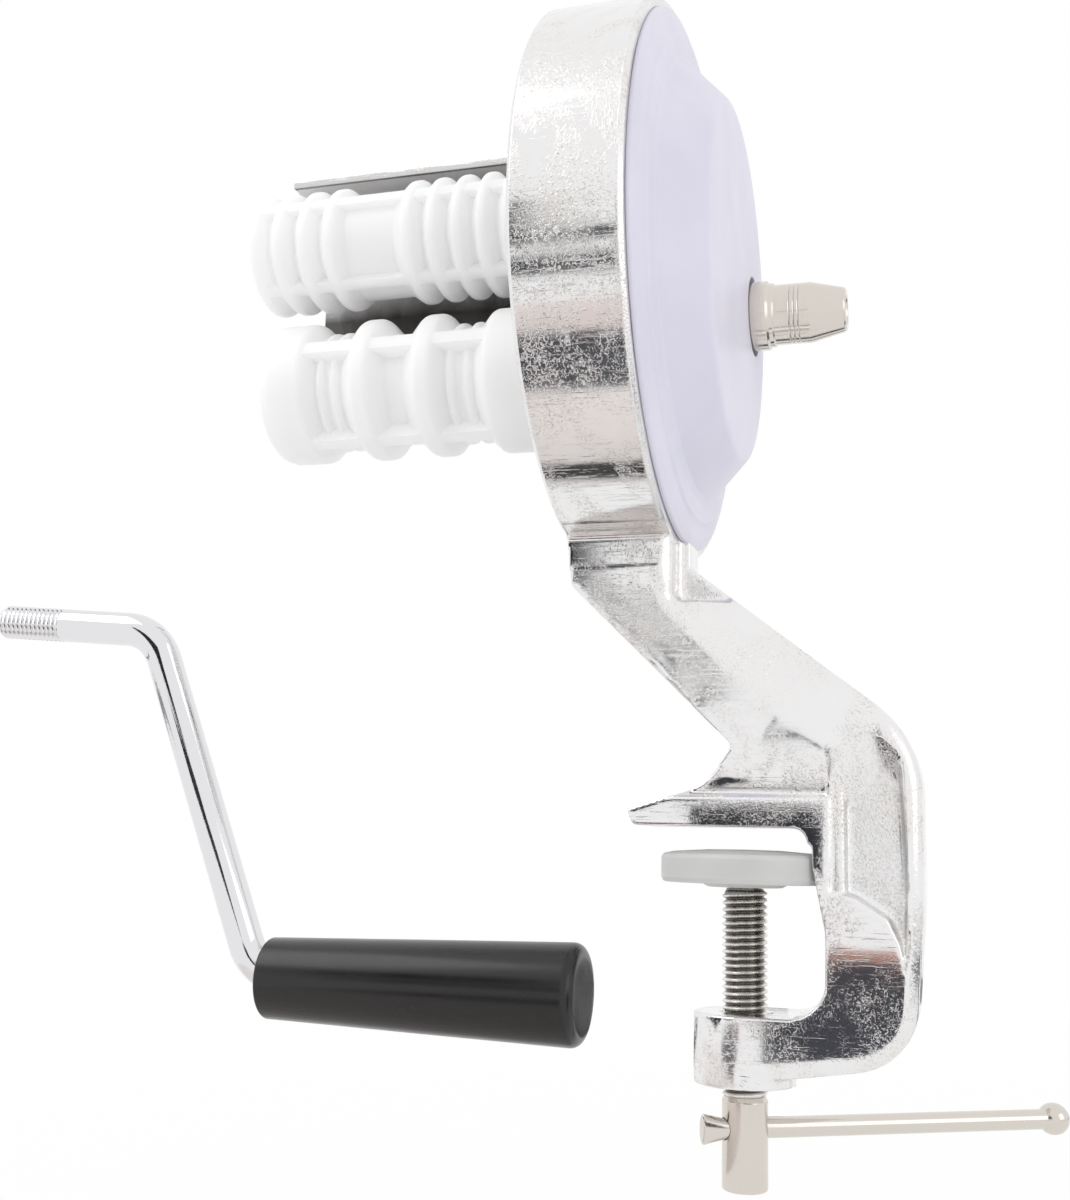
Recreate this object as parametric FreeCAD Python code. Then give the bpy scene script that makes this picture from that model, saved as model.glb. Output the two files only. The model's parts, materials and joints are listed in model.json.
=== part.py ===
import FreeCAD, Part
import math
import os

# Hand-cranked cavatelli maker. The origin is the point of the clamp jaw's underside on the clamp
# screw's axis. +Z is up, +X points from the rollers towards the gear cover, and -Y is the front.
# Lengths are in millimetres and angles in degrees.

# Clearances
RUN = 0.05                # radial gap of a shaft in its bush
END_FLOAT = 0.3           # axial gap beside a turning piece
COVER_GAP = 0.2           # gap around the cover's skirt and rim
PAD_GAP = 0.6             # between the clamp pad and the hollow in the clamp's wall
BACKLASH = 0.3            # circumferential gap between meshing teeth

# Drum. Depths are measured to the right from its back face.
DRUM_BACK = -38.7         # x of the drum's back face
AXIS_HEIGHT = 128.3       # height of the drum's axis above the jaw's underside
DRUM_RADIUS = 66.0
DRUM_FOOT = AXIS_HEIGHT - DRUM_RADIUS
DRUM_DEPTH = 24.4
DRUM_BEVEL = 0.9
RING_WALL = 3.5
BACK_WALL = 5.0

# Gears and shafts
MODULE = 1.5
PRESSURE_ANGLE = 20.0
ADDENDUM = 0.8            # in modules
DEDENDUM = 1.15
FLANK_STEPS = 4
ROLLER_TEETH = 26
PINION_TEETH = 12
ROLLER_SET_BACK = 2.0     # the roller axes lie this far behind the drum's axis
GEAR_DEPTH = 9.5          # depth at which the roller gears start
UPPER_GEAR_WIDTH = 6.5
LOWER_GEAR_WIDTH = 13.5
PINION_DEPTH = 17.0
PINION_WIDTH = 6.0
AXLE_RADIUS = 4.0
FLAT = 3.2                # distance from an axle's centre to the flat that drives its gear
PINION_SEAT_RADIUS = 5.0
PINION_FLAT = 4.2
BUSH_WALL = 1.5
BUSH_FLANGE = 1.0
BUSH_FLANGE_RADIUS = 7.5
ROLLER_BOSS_RADIUS = 9.0
DRIVE_BOSS_RADIUS = 7.0
DRIVE_BOSS_DEPTH = 16.0
BLIND_WALL = 1.5
WASHER_THICKNESS = 1.0
WASHER_RADIUS = 8.0
CLIP_THICKNESS = 1.0
CLIP_RADIUS = 6.4
CLIP_GROOVE = 0.5
CLIP_SLOT = 3.0
AXLE_STUB = 2.0           # axle left beyond its circlip

# Drive shaft beyond the pinion, in depths
SHAFT_NECK_RADIUS = 6.5
SHAFT_BODY_DEPTH = 24.0
SHAFT_FLANGE_RADIUS = 11.2
SHAFT_FLANGE = 2.0
COLLAR_RADIUS = 8.65
COLLAR_DEPTH = 41.6
NOSE_RADIUS = 7.5
NOSE_DEPTH = 43.1
TAPER_DEPTH = 52.0
TIP_RADIUS = 5.45
TIP_DEPTH = 60.7
TIP_BEVEL = 0.5
SOCKET_LENGTH = 16.0
CRANK_THREAD_CORE = 3.4   # tapping radius of the crank's thread

# Gear cover
COVER_WALL = 2.0
COVER_RADIUS = DRUM_RADIUS - 2.5
COVER_SKIRT = 4.0
DISC_DEPTH = 37.6
DISC_RADIUS = 40.2
SHAFT_HOLE_RADIUS = 10.0
WASHER_RIM = 11.5         # outer radius of the shaft's thrust washer

# Rollers, in depths: negative is to the left of the drum's back face
ROLLER_GAP = 0.3          # between a roller's end and the flange of its bush
UPPER_END = -87.4
UPPER_TOOTH_RADIUS = 15.65
UPPER_VALLEY_RADIUS = 12.8
UPPER_LANE_RADIUS = 13.3
UPPER_BLADE_RADIUS = 15.3
LEFT_TOOTH = -86.2        # centre of the left group's first tooth
LEFT_PITCH = 7.1
LEFT_TEETH = 4
RIGHT_TOOTH = -43.7       # centre of the right group's first tooth
RIGHT_PITCH = 6.6
RIGHT_TEETH = 6
TOOTH_CROWN = 0.12        # of a tooth's pitch, from its centre to the edge of its crown
TOOTH_SHOULDER = 0.25
SHOULDER_RISE = 0.8       # of the tooth's height
LANE_STEP = 1.0           # from a group of teeth to the plain lane beside it
LOWER_END = -82.0
LOWER_FLANGE_RADIUS = 17.9
LOWER_RIDGE_RADIUS = 15.1
LOWER_VALLEY_RADIUS = 14.0
LOWER_LANE_RADIUS = 13.6
LOWER_BLADE_RADIUS = 17.4
LOWER_RIDGES = ((-65.3, -61.7), (-30.9, -26.5))
RIDGE_HALF_TOP = 0.5
RIDGE_HALF_BASE = 1.2
BLADES = 4                # straight bars along each roller, evenly spaced round it
UPPER_BLADE_WIDTH = 3.8
LOWER_BLADE_WIDTH = 4.4
UPPER_BLADE_ANGLE = 60.0  # of the first bar, from +Y towards +Z
LOWER_BLADE_ANGLE = 66.0
AXLE_REACH = 76.0         # how far an axle runs into its roller

# Forming plate behind the rollers
PLATE_WALL = 2.6
PLATE_RADIUS = 21.9
PLATE_CENTRE_Y = 4.2
PLATE_CENTRE_RISE = 17.7  # above the drum's axis
PLATE_LEFT = -83.5
PLATE_FOOT = -8.0         # lower edge, from the drum's axis

# Arm and clamp
NECK_HALF_WIDTH = 16.0
CLAMP_HALF_WIDTH = 11.1
SPINE_BACK = 38.8         # x of the clamp's upright back
SPINE_WALL = 10.0
BOSS_TOP = -39.6
BOSS_BOTTOM = -54.7
REAR_HALF_WIDTH = 5.0
CREASE_TO_REAR = 10.8     # from the arm's crease to its rear edge
FLANK_REACH = 16.8
WEB_WALL = 2.6            # the web that stands proud of the drum's front
NECK_BEND = DRUM_FOOT - 5.0   # above this the neck is upright
ARM_FOOT = (9.5, 0.0, 26.3)   # foot of the arm's crease, where it meets the clamp
STRIP_WIDTH = 1.9         # bevel down the neck's right edge
CLAMP_EDGE = 3.6          # rounding of the clamp's outer edges
RECESS_DEPTH = 2.6        # of the hollow in each side of the clamp's spine
BEAD_X = 21.2             # the upright bead that stands in the hollow
BEAD_RADIUS = 1.9
BEAD_TOP = 11.0
BEAD_BOTTOM = -14.5
HOLLOW_TOP = -3.4         # of the hollow in the clamp's inner wall that the pad travels in
HOLLOW_BOTTOM = -37.6
JAW_EDGE = 6.3            # height of the full-width edge along the jaw
COVE_STEP = 0.9
COVE_DEPTH = 1.2          # how far the side above it is set back
COVE_TOP = 26.0
COVE_START = -26.0
COVE_END = 19.2

# Clamp screw
SCREW_RADIUS = 5.0
SCREW_NECK_RADIUS = 4.2
THREAD_TOP = -13.5
HEAD_TOP = -58.0
HEAD_BOTTOM = -76.7
HEAD_RADIUS = 4.95
PAD_RADIUS = 18.5
PAD_TOP = -4.8
PAD_RIM_TOP = -6.0
PAD_BOTTOM = -12.1
PAD_HUB_RADIUS = 9.3
PAD_HUB_BOTTOM = -13.0
SPIGOT_TOP = -7.6
SPIGOT_RADIUS = 3.6
PAD_CLIP_TOP = (SPIGOT_TOP + PAD_HUB_BOTTOM + CLIP_THICKNESS) / 2

# Tommy bar
BAR_HEIGHT = -64.0
BAR_YAW = 32.3
BAR_RADIUS = 2.2
BALL_RADIUS = 3.55
BALL_REACH = 76.5
TAB_LENGTH = 5.0
TAB_HEIGHT = 6.4
TAB_WIDTH = 3.0

# Crank, lying apart in a plane in front of the machine
CRANK_Y = -26.0
ROD_RADIUS = 4.0
CRANK_TIP = (-179.2, 46.3)
CRANK_TOP = (-136.8, 43.2)
CRANK_FOOT = (-105.3, -35.5)
CRANK_BEND = 12.0
CRANK_THREAD_LENGTH = 17.5
CRANK_THREAD_RADIUS = 3.8
CRANK_THREAD_BEVEL = 1.0
GRIP_LENGTH = 72.1
GRIP_GAP = 3.6            # from the rod's corner to the grip
GRIP_SMALL_RADIUS = 8.8
GRIP_LARGE_RADIUS = 10.75
GRIP_EDGE = 2.5
GRIP_BORE_GAP = 0.1
GRIP_MOUTH_RADIUS = 6.3
GRIP_MOUTH_DEPTH = 6.5
GRIP_POCKET_RADIUS = 7.0
GRIP_POCKET_DEPTH = 10.0
GRIP_CAP = 3.2
ROD_TO_CAP = 1.5


def vec(x, y, z):
    return FreeCAD.Vector(x, y, z)


def depth_x(depth):
    """The x of a depth measured from the drum's back face."""
    return DRUM_BACK + depth


# Axes of the turning pieces, as (y, z)
ROLLER_SPACING = MODULE * ROLLER_TEETH
UPPER_AXIS = (ROLLER_SET_BACK, AXIS_HEIGHT + ROLLER_SPACING / 2)
LOWER_AXIS = (ROLLER_SET_BACK, AXIS_HEIGHT - ROLLER_SPACING / 2)
DRIVE_REACH = MODULE * (PINION_TEETH + ROLLER_TEETH) / 2
DRIVE_AXIS = (ROLLER_SET_BACK + math.sqrt(DRIVE_REACH ** 2 - (ROLLER_SPACING / 2) ** 2), AXIS_HEIGHT)
DRUM_AXIS = (0.0, AXIS_HEIGHT)

BUSH_RADIUS = AXLE_RADIUS + RUN + BUSH_WALL
BUSH_END = GEAR_DEPTH - END_FLOAT


def turned_x(profile, axis):
    """A solid turned about a line along X at axis (y, z), from a closed profile of (depth, radius)."""
    y, z = axis
    points = [vec(depth_x(depth), y, z + radius) for depth, radius in profile]
    face = Part.Face(Part.makePolygon(points + points[:1]))
    return face.revolve(vec(0, y, z), vec(1, 0, 0), 360)


def rod_x(start, end, radius, axis):
    """A cylinder along X between two depths."""
    y, z = axis
    return Part.makeCylinder(radius, end - start, vec(depth_x(start), y, z), vec(1, 0, 0))


def ring_x(start, end, outer, inner, axis):
    """A ring about X between two depths."""
    return rod_x(start, end, outer, axis).cut(rod_x(start - 1, end + 1, inner, axis))


def turned_z(profile):
    """A solid turned about the clamp screw's axis, from a closed profile of (radius, z)."""
    points = [vec(radius, 0, z) for radius, z in profile]
    face = Part.Face(Part.makePolygon(points + points[:1]))
    return face.revolve(vec(0, 0, 0), vec(0, 0, 1), 360)


def flatted_x(start, end, radius, flat, axis):
    """A cylinder along X with a flat at the given distance from its centre, on the +Z side."""
    y, z = axis
    corner = vec(depth_x(start), y - radius, z - radius)
    block = Part.makeBox(end - start, 2 * radius, radius + flat, corner)
    return rod_x(start, end, radius, axis).common(block)


def corner_arc(before, corner, after, radius):
    """Start, middle and end of the arc that rounds a corner."""
    back = (before - corner).normalize()
    ahead = (after - corner).normalize()
    half = back.getAngle(ahead) / 2
    run = radius / math.tan(half)
    bisector = (back + ahead).normalize()
    middle = corner + bisector * (radius / math.sin(half) - radius)
    return corner + back * run, middle, corner + ahead * run


def rounded_path(stations, closed):
    """Straight runs with a tangent arc at each corner; stations are (point, radius)."""
    count = len(stations)
    pieces = []
    for index, (corner, radius) in enumerate(stations):
        inside = closed or 0 < index < count - 1
        if radius > 0 and inside:
            before = stations[index - 1][0]
            after = stations[(index + 1) % count][0]
            pieces.append(corner_arc(before, corner, after, radius))
        else:
            pieces.append((corner, None, corner))
    edges = []
    for index, (start, middle, end) in enumerate(pieces):
        if middle is not None:
            edges.append(Part.Arc(start, middle, end).toShape())
        if index < count - 1 or closed:
            edges.append(Part.LineSegment(end, pieces[(index + 1) % count][0]).toShape())
    return Part.Wire(edges)


def side_plate(stations, half_width):
    """A plate of the given outline in the XZ plane, centred on y = 0; stations are (x, z, radius)."""
    corners = [(vec(x, -half_width, z), radius) for x, z, radius in stations]
    return Part.Face(rounded_path(corners, True)).extrude(vec(0, 2 * half_width, 0))


def both_sides(shape):
    """A shape and its mirror image in the XZ plane."""
    return [shape, shape.mirror(vec(0, 0, 0), vec(0, 1, 0))]


# Gears
def involute(angle):
    return math.tan(angle) - angle


def gear(teeth, start, width, axis, tooth_angle, bore):
    """A spur gear about X with a tooth centred at tooth_angle, from +Y towards +Z."""
    pitch_radius = MODULE * teeth / 2
    base_radius = pitch_radius * math.cos(math.radians(PRESSURE_ANGLE))
    root_radius = pitch_radius - DEDENDUM * MODULE
    tip_radius = pitch_radius + ADDENDUM * MODULE
    flank_start = max(base_radius, root_radius)
    half_pitch = math.pi / (2 * teeth) - BACKLASH / (4 * pitch_radius)
    half_base = half_pitch + involute(math.radians(PRESSURE_ANGLE))
    flank = []
    for step in range(FLANK_STEPS + 1):
        radius = flank_start + (tip_radius - flank_start) * step / FLANK_STEPS
        flank.append((radius, half_base - involute(math.acos(base_radius / radius))))
    if root_radius < flank_start:
        flank.insert(0, (root_radius, half_base))
    y, z = axis
    points = []
    for tooth in range(teeth):
        middle = math.radians(tooth_angle) + 2 * math.pi * tooth / teeth
        sides = [(radius, middle - half) for radius, half in flank]
        sides += [(radius, middle + half) for radius, half in reversed(flank)]
        for radius, angle in sides:
            points.append(vec(depth_x(start), y + radius * math.cos(angle), z + radius * math.sin(angle)))
    wheel = Part.Face(Part.makePolygon(points + points[:1])).extrude(vec(width, 0, 0))
    return wheel.cut(bore)


def mating_angle(teeth, tooth_angle, direction, mate_teeth):
    """Where the mate has a tooth, for a gear with a tooth at tooth_angle and its mate in direction."""
    pitch = 360.0 / teeth
    offset = (tooth_angle - direction + pitch / 2) % pitch - pitch / 2
    return direction + 180 - offset * teeth / mate_teeth + 180.0 / mate_teeth


LOWER_TOOTH_ANGLE = 90.0
UPPER_TOOTH_ANGLE = mating_angle(ROLLER_TEETH, LOWER_TOOTH_ANGLE, 90.0, ROLLER_TEETH)
DRIVE_DIRECTION = math.degrees(math.atan2(DRIVE_AXIS[1] - LOWER_AXIS[1], DRIVE_AXIS[0] - LOWER_AXIS[0]))
PINION_TOOTH_ANGLE = mating_angle(ROLLER_TEETH, LOWER_TOOTH_ANGLE, DRIVE_DIRECTION, PINION_TEETH)


# Frame casting
def drum():
    """The cup of the drum with its bearing bosses."""
    inner = DRUM_RADIUS - RING_WALL
    profile = [
        (0, 0),
        (0, DRUM_RADIUS - DRUM_BEVEL),
        (DRUM_BEVEL, DRUM_RADIUS),
        (DRUM_DEPTH - DRUM_BEVEL, DRUM_RADIUS),
        (DRUM_DEPTH, DRUM_RADIUS - DRUM_BEVEL),
        (DRUM_DEPTH, inner),
        (BACK_WALL, inner),
        (BACK_WALL, 0),
    ]
    cup = turned_x(profile, DRUM_AXIS)
    bosses = [rod_x(0, BUSH_END - END_FLOAT, ROLLER_BOSS_RADIUS, axis) for axis in (UPPER_AXIS, LOWER_AXIS)]
    bosses.append(rod_x(0, DRIVE_BOSS_DEPTH, DRIVE_BOSS_RADIUS, DRIVE_AXIS))
    return cup.fuse(bosses)


def forming_plate():
    """The curved plate behind the rollers: an arc from the top edge round the back, then straight down."""
    centre_z = AXIS_HEIGHT + PLATE_CENTRE_RISE
    outer = PLATE_RADIUS + PLATE_WALL
    lip = math.radians(93.0)
    diagonal = math.radians(45.0)
    x = depth_x(PLATE_LEFT)

    def on_arc(radius, angle):
        return vec(x, PLATE_CENTRE_Y + radius * math.cos(angle), centre_z + radius * math.sin(angle))

    foot_z = AXIS_HEIGHT + PLATE_FOOT
    inner_foot = vec(x, PLATE_CENTRE_Y + PLATE_RADIUS, foot_z)
    outer_foot = vec(x, PLATE_CENTRE_Y + outer, foot_z)
    edges = [
        Part.Arc(on_arc(PLATE_RADIUS, lip), on_arc(PLATE_RADIUS, diagonal), on_arc(PLATE_RADIUS, 0)),
        Part.LineSegment(on_arc(PLATE_RADIUS, 0), inner_foot),
        Part.LineSegment(inner_foot, outer_foot),
        Part.LineSegment(outer_foot, on_arc(outer, 0)),
        Part.Arc(on_arc(outer, 0), on_arc(outer, diagonal), on_arc(outer, lip)),
        Part.LineSegment(on_arc(outer, lip), on_arc(PLATE_RADIUS, lip)),
    ]
    wire = Part.Wire([edge.toShape() for edge in edges])
    return Part.Face(wire).extrude(vec(BACK_WALL / 2 - PLATE_LEFT, 0, 0))


def arm_outline():
    """Side view of the neck, arm and clamp, as (x, z, corner radius)."""
    ring_front = depth_x(DRUM_DEPTH)
    web_top = AXIS_HEIGHT - COVER_RADIUS - COVER_GAP
    return [
        (DRUM_BACK + 0.3, DRUM_FOOT + 3.0, 0),
        (DRUM_BACK + 1.6, DRUM_FOOT - 9.1, 2.5),
        (-1.1, 17.6, 1.5),
        (-7.4, 8.9, 12),
        (-24.8, 3.4, 0.8),
        (-23.2, 0, 0.6),
        (14.2, 0, 3.0),
        (18.5, -22, 20),
        (18.3, BOSS_TOP, 8),
        (0, BOSS_TOP, 0),
        (0, BOSS_BOTTOM + 1.1, 0),
        (10, -52.3, 8),
        (SPINE_BACK - 2.5, -48.1, 15),
        (SPINE_BACK, -14, 30),
        (SPINE_BACK, 19.5, 24),
        (ring_front + WEB_WALL, DRUM_FOOT - 3.7, 0),
        (ring_front + WEB_WALL, web_top, 0),
        (ring_front, web_top, 0),
        (ring_front, DRUM_FOOT + 3.0, 0),
    ]


def arm_taper():
    """The room the arm fills: it widens from the clamp up to the neck, which is upright."""
    base = vec(*ARM_FOOT)
    across = vec(NECK_BEND - base.z, 0, base.x - DRUM_BACK).normalize()
    low = [base - across * 16, base + across * 14]
    high = [vec(DRUM_BACK - 6, 0, NECK_BEND), vec(depth_x(DRUM_DEPTH) + 6, 0, NECK_BEND)]
    top = [vec(point.x, 0, DRUM_FOOT + 8) for point in high]
    wires = []
    for ends, half in ((low, CLAMP_HALF_WIDTH), (high, NECK_HALF_WIDTH), (top, NECK_HALF_WIDTH)):
        side = vec(0, half, 0)
        corners = [ends[0] - side, ends[1] - side, ends[1] + side, ends[0] + side]
        wires.append(Part.makePolygon(corners + corners[:1]))
    return Part.makeLoft(wires[:2], True, True).fuse(Part.makeLoft(wires[1:], True, True))


def clamp_plate():
    """The arm and clamp at the clamp's width, with their outer edges rounded."""
    plate = side_plate(arm_outline(), CLAMP_HALF_WIDTH)
    edges = []
    for edge in plate.Edges:
        middle = edge.valueAt((edge.FirstParameter + edge.LastParameter) / 2)
        runs_round = abs(abs(middle.y) - CLAMP_HALF_WIDTH) < RUN
        below = middle.z < (BOSS_TOP + BOSS_BOTTOM) / 2
        behind = middle.x > COVE_END and abs(middle.x - SPINE_BACK) < SPINE_WALL
        above = middle.x > 0 and middle.z > ARM_FOOT[2]
        if runs_round and (below or behind or above):
            edges.append(edge)
    return plate.makeFillet(CLAMP_EDGE, edges)


def flank_cuts():
    """What the arm's front side lacks: its flank recedes from a crease to a thinner rear edge."""
    ring_front = depth_x(DRUM_DEPTH)
    top = vec(-15.4, -14.6, DRUM_FOOT - 13.1)
    foot = vec(ARM_FOOT[0], -CLAMP_HALF_WIDTH, ARM_FOOT[2])
    end = vec(24.0, -CLAMP_HALF_WIDTH, 13.0)
    across = vec(top.z - foot.z, 0, foot.x - top.x).normalize()
    wires = []
    for crease, recess in ((top, 1.0), (foot, 0.75), (end, 0.02)):
        slope = recess * (-crease.y - REAR_HALF_WIDTH) / CREASE_TO_REAR
        far = crease + across * FLANK_REACH + vec(0, slope * FLANK_REACH, 0)
        out = crease + across * FLANK_REACH + vec(0, -NECK_HALF_WIDTH, 0)
        near = crease + vec(0, -NECK_HALF_WIDTH, 0)
        wires.append(Part.makePolygon([crease, far, out, near, crease]))
    corner = vec(ring_front, -NECK_HALF_WIDTH - REAR_HALF_WIDTH, DRUM_FOOT - 12.3)
    web = Part.makeBox(12, NECK_HALF_WIDTH, 30, corner)
    return [Part.makeLoft(wires[:2], True, True), Part.makeLoft(wires[1:], True, True), web]


def neck_bevel():
    """The bevel of the drum's front edge, carried on down the neck's right edge."""
    ring_front = depth_x(DRUM_DEPTH)
    wires = []
    stations = [
        (DRUM_FOOT + 8, NECK_HALF_WIDTH, DRUM_BEVEL),
        (NECK_BEND, NECK_HALF_WIDTH, STRIP_WIDTH),
        (DRUM_FOOT - 13.1, 14.8, STRIP_WIDTH),
    ]
    for z, half, width in stations:
        edge = vec(ring_front, -half, z)
        points = [edge + vec(-width, 0, 0), edge + vec(0, width, 0), edge + vec(1, -1, 0)]
        wires.append(Part.makePolygon(points + points[:1]))
    return [Part.makeLoft(wires[:2], True, True), Part.makeLoft(wires[1:], True, True)]


def recess():
    """The hollow in the front side of the clamp's spine: its walls slope, and its top end is a ramp."""
    stations = [
        (19.3, 9.6, 22.2, 3.0, 1.0),
        (27.9, 21.8, 30.2, 13.0, 1.0),
        (34.6, 16.0, 33.9, 10.5, 3.0),
        (35.6, -10.0, 34.9, -10.0, 20.0),
        (34.8, -34.5, 34.5, -30.0, 0.0),
        (33.9, -24.0, 34.2, -23.5, 3.0),
        (31.2, -18.5, 31.6, -17.8, 2.0),
        (24.5, -14.2, 24.5, -13.4, 3.0),
        (19.3, -13.6, 20.1, -12.8, 0.0),
    ]
    floor = -CLAMP_HALF_WIDTH + RECESS_DEPTH
    mouth = [(vec(x, -CLAMP_HALF_WIDTH, z), radius) for x, z, low_x, low_z, radius in stations]
    bottom = [(vec(low_x, floor, low_z), radius) for x, z, low_x, low_z, radius in stations]
    hollow = Part.makeLoft([rounded_path(mouth, True), rounded_path(bottom, True)], True, True)
    return hollow.fuse(Part.Face(rounded_path(mouth, True)).extrude(vec(0, -1, 0)))


def bead():
    """The upright rounded bead in the hollow."""
    y = -CLAMP_HALF_WIDTH + RECESS_DEPTH
    base = vec(BEAD_X, y, BEAD_BOTTOM)
    return Part.makeCylinder(BEAD_RADIUS, BEAD_TOP - BEAD_BOTTOM, base)


def cove():
    """What the clamp's front side lacks above the jaw's edge: an arc that fades out upwards."""
    outside = -CLAMP_HALF_WIDTH - 1
    run = COVE_TOP - JAW_EDGE - COVE_STEP
    radius = (run ** 2 + COVE_DEPTH ** 2) / (2 * COVE_DEPTH)
    half_angle = math.asin(run / radius) / 2
    edge = vec(COVE_START, -CLAMP_HALF_WIDTH, JAW_EDGE)
    low = vec(COVE_START, -CLAMP_HALF_WIDTH + COVE_DEPTH, JAW_EDGE + COVE_STEP)
    middle_y = -CLAMP_HALF_WIDTH + radius * (1 - math.cos(half_angle))
    middle = vec(COVE_START, middle_y, COVE_TOP - radius * math.sin(half_angle))
    high = vec(COVE_START, -CLAMP_HALF_WIDTH, COVE_TOP)
    corners = [high, vec(COVE_START, outside, COVE_TOP), vec(COVE_START, outside, JAW_EDGE), edge, low]
    sides = [Part.LineSegment(*ends).toShape() for ends in zip(corners, corners[1:])]
    wire = Part.Wire(sides + [Part.Arc(low, middle, high).toShape()])
    return Part.Face(wire).extrude(vec(COVE_END - COVE_START, 0, 0))


def frame_casting():
    """Drum, forming plate, arm and clamp in one casting."""
    arm = side_plate(arm_outline(), NECK_HALF_WIDTH + 1).common(arm_taper())
    arm = arm.fuse(clamp_plate())
    for cut in flank_cuts() + neck_bevel() + [recess(), cove()]:
        arm = arm.cut(both_sides(cut))
    arm = arm.fuse(both_sides(bead()))
    boss = Part.makeCylinder(CLAMP_HALF_WIDTH, BOSS_TOP - BOSS_BOTTOM, vec(0, 0, BOSS_BOTTOM))
    body = drum().fuse([forming_plate(), arm, boss])
    holes = [rod_x(-1, DRUM_DEPTH, BUSH_RADIUS, axis) for axis in (UPPER_AXIS, LOWER_AXIS)]
    holes.append(rod_x(BLIND_WALL, DRUM_DEPTH, BUSH_RADIUS, DRIVE_AXIS))
    holes.append(Part.makeCylinder(SCREW_RADIUS + RUN, BOSS_TOP - BOSS_BOTTOM + 2, vec(0, 0, BOSS_BOTTOM - 1)))
    holes.append(Part.makeCylinder(PAD_RADIUS + PAD_GAP, HOLLOW_TOP - HOLLOW_BOTTOM, vec(0, 0, HOLLOW_BOTTOM)))
    return body.cut(holes).removeSplitter()


# Bushes and shafts
def roller_bush(axis):
    """A flanged bush through the drum's back wall."""
    bush = rod_x(0, BUSH_END, BUSH_RADIUS, axis)
    bush = bush.fuse(rod_x(-BUSH_FLANGE, 0, BUSH_FLANGE_RADIUS, axis))
    return bush.cut(rod_x(-BUSH_FLANGE - 1, BUSH_END + 1, AXLE_RADIUS + RUN, axis))


def drive_bush():
    """A plain bush in the blind boss behind the pinion."""
    return ring_x(BLIND_WALL, DRIVE_BOSS_DEPTH, BUSH_RADIUS, AXLE_RADIUS + RUN, DRIVE_AXIS)


def drive_shaft():
    """The turned shaft: journal, pinion seat, flange behind the cover, collar, nose and tapered tip."""
    flange_end = DISC_DEPTH - COVER_WALL - END_FLOAT - WASHER_THICKNESS
    pinion_end = PINION_DEPTH + PINION_WIDTH
    profile = [
        (BLIND_WALL + END_FLOAT, 0),
        (BLIND_WALL + END_FLOAT, AXLE_RADIUS),
        (PINION_DEPTH, AXLE_RADIUS),
        (PINION_DEPTH, 0),
    ]
    body = [
        (pinion_end, 0),
        (pinion_end, SHAFT_NECK_RADIUS),
        (SHAFT_BODY_DEPTH, SHAFT_NECK_RADIUS),
        (SHAFT_BODY_DEPTH, COLLAR_RADIUS),
        (flange_end - SHAFT_FLANGE, COLLAR_RADIUS),
        (flange_end - SHAFT_FLANGE, SHAFT_FLANGE_RADIUS),
        (flange_end, SHAFT_FLANGE_RADIUS),
        (flange_end, COLLAR_RADIUS),
        (COLLAR_DEPTH, COLLAR_RADIUS),
        (NOSE_DEPTH, NOSE_RADIUS),
        (TAPER_DEPTH, NOSE_RADIUS),
        (TIP_DEPTH - TIP_BEVEL, TIP_RADIUS),
        (TIP_DEPTH, TIP_RADIUS - TIP_BEVEL),
        (TIP_DEPTH, 0),
    ]
    seat = flatted_x(PINION_DEPTH, pinion_end, PINION_SEAT_RADIUS, PINION_FLAT, DRIVE_AXIS)
    shaft = turned_x(profile, DRIVE_AXIS).fuse([turned_x(body, DRIVE_AXIS), seat])
    return shaft.cut(rod_x(TIP_DEPTH - SOCKET_LENGTH, TIP_DEPTH + 1, CRANK_THREAD_CORE, DRIVE_AXIS))


def thrust_washer():
    """The washer between the shaft's flange and the cover."""
    end = DISC_DEPTH - COVER_WALL - END_FLOAT
    return ring_x(end - WASHER_THICKNESS, end, WASHER_RIM, COLLAR_RADIUS, DRIVE_AXIS)


def drive_pinion():
    bore = flatted_x(PINION_DEPTH, PINION_DEPTH + PINION_WIDTH, PINION_SEAT_RADIUS, PINION_FLAT, DRIVE_AXIS)
    return gear(PINION_TEETH, PINION_DEPTH, PINION_WIDTH, DRIVE_AXIS, PINION_TOOTH_ANGLE, bore)


def axle(axis, gear_width):
    """A roller's axle, with a flat for its gear and a groove for its circlip."""
    gear_end = GEAR_DEPTH + gear_width
    groove = gear_end + WASHER_THICKNESS
    end = groove + CLIP_THICKNESS + AXLE_STUB
    bar = rod_x(-AXLE_REACH, GEAR_DEPTH, AXLE_RADIUS, axis)
    bar = bar.fuse(flatted_x(GEAR_DEPTH, end, AXLE_RADIUS, FLAT, axis))
    return bar.cut(ring_x(groove, groove + CLIP_THICKNESS, AXLE_RADIUS + 1, AXLE_RADIUS - CLIP_GROOVE, axis))


def roller_gear(axis, width, tooth_angle):
    bore = flatted_x(GEAR_DEPTH, GEAR_DEPTH + width, AXLE_RADIUS, FLAT, axis)
    return gear(ROLLER_TEETH, GEAR_DEPTH, width, axis, tooth_angle, bore)


def gear_washer(axis, gear_width):
    start = GEAR_DEPTH + gear_width
    return ring_x(start, start + WASHER_THICKNESS, WASHER_RADIUS, AXLE_RADIUS, axis)


def circlip(axis, gear_width):
    """The open ring in the groove at the end of an axle."""
    start = GEAR_DEPTH + gear_width + WASHER_THICKNESS
    ring = ring_x(start, start + CLIP_THICKNESS, CLIP_RADIUS, AXLE_RADIUS - CLIP_GROOVE, axis)
    y, z = axis
    corner = vec(depth_x(start), y - CLIP_SLOT / 2, z - CLIP_RADIUS)
    return ring.cut(Part.makeBox(CLIP_THICKNESS, CLIP_SLOT, CLIP_RADIUS, corner))


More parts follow.
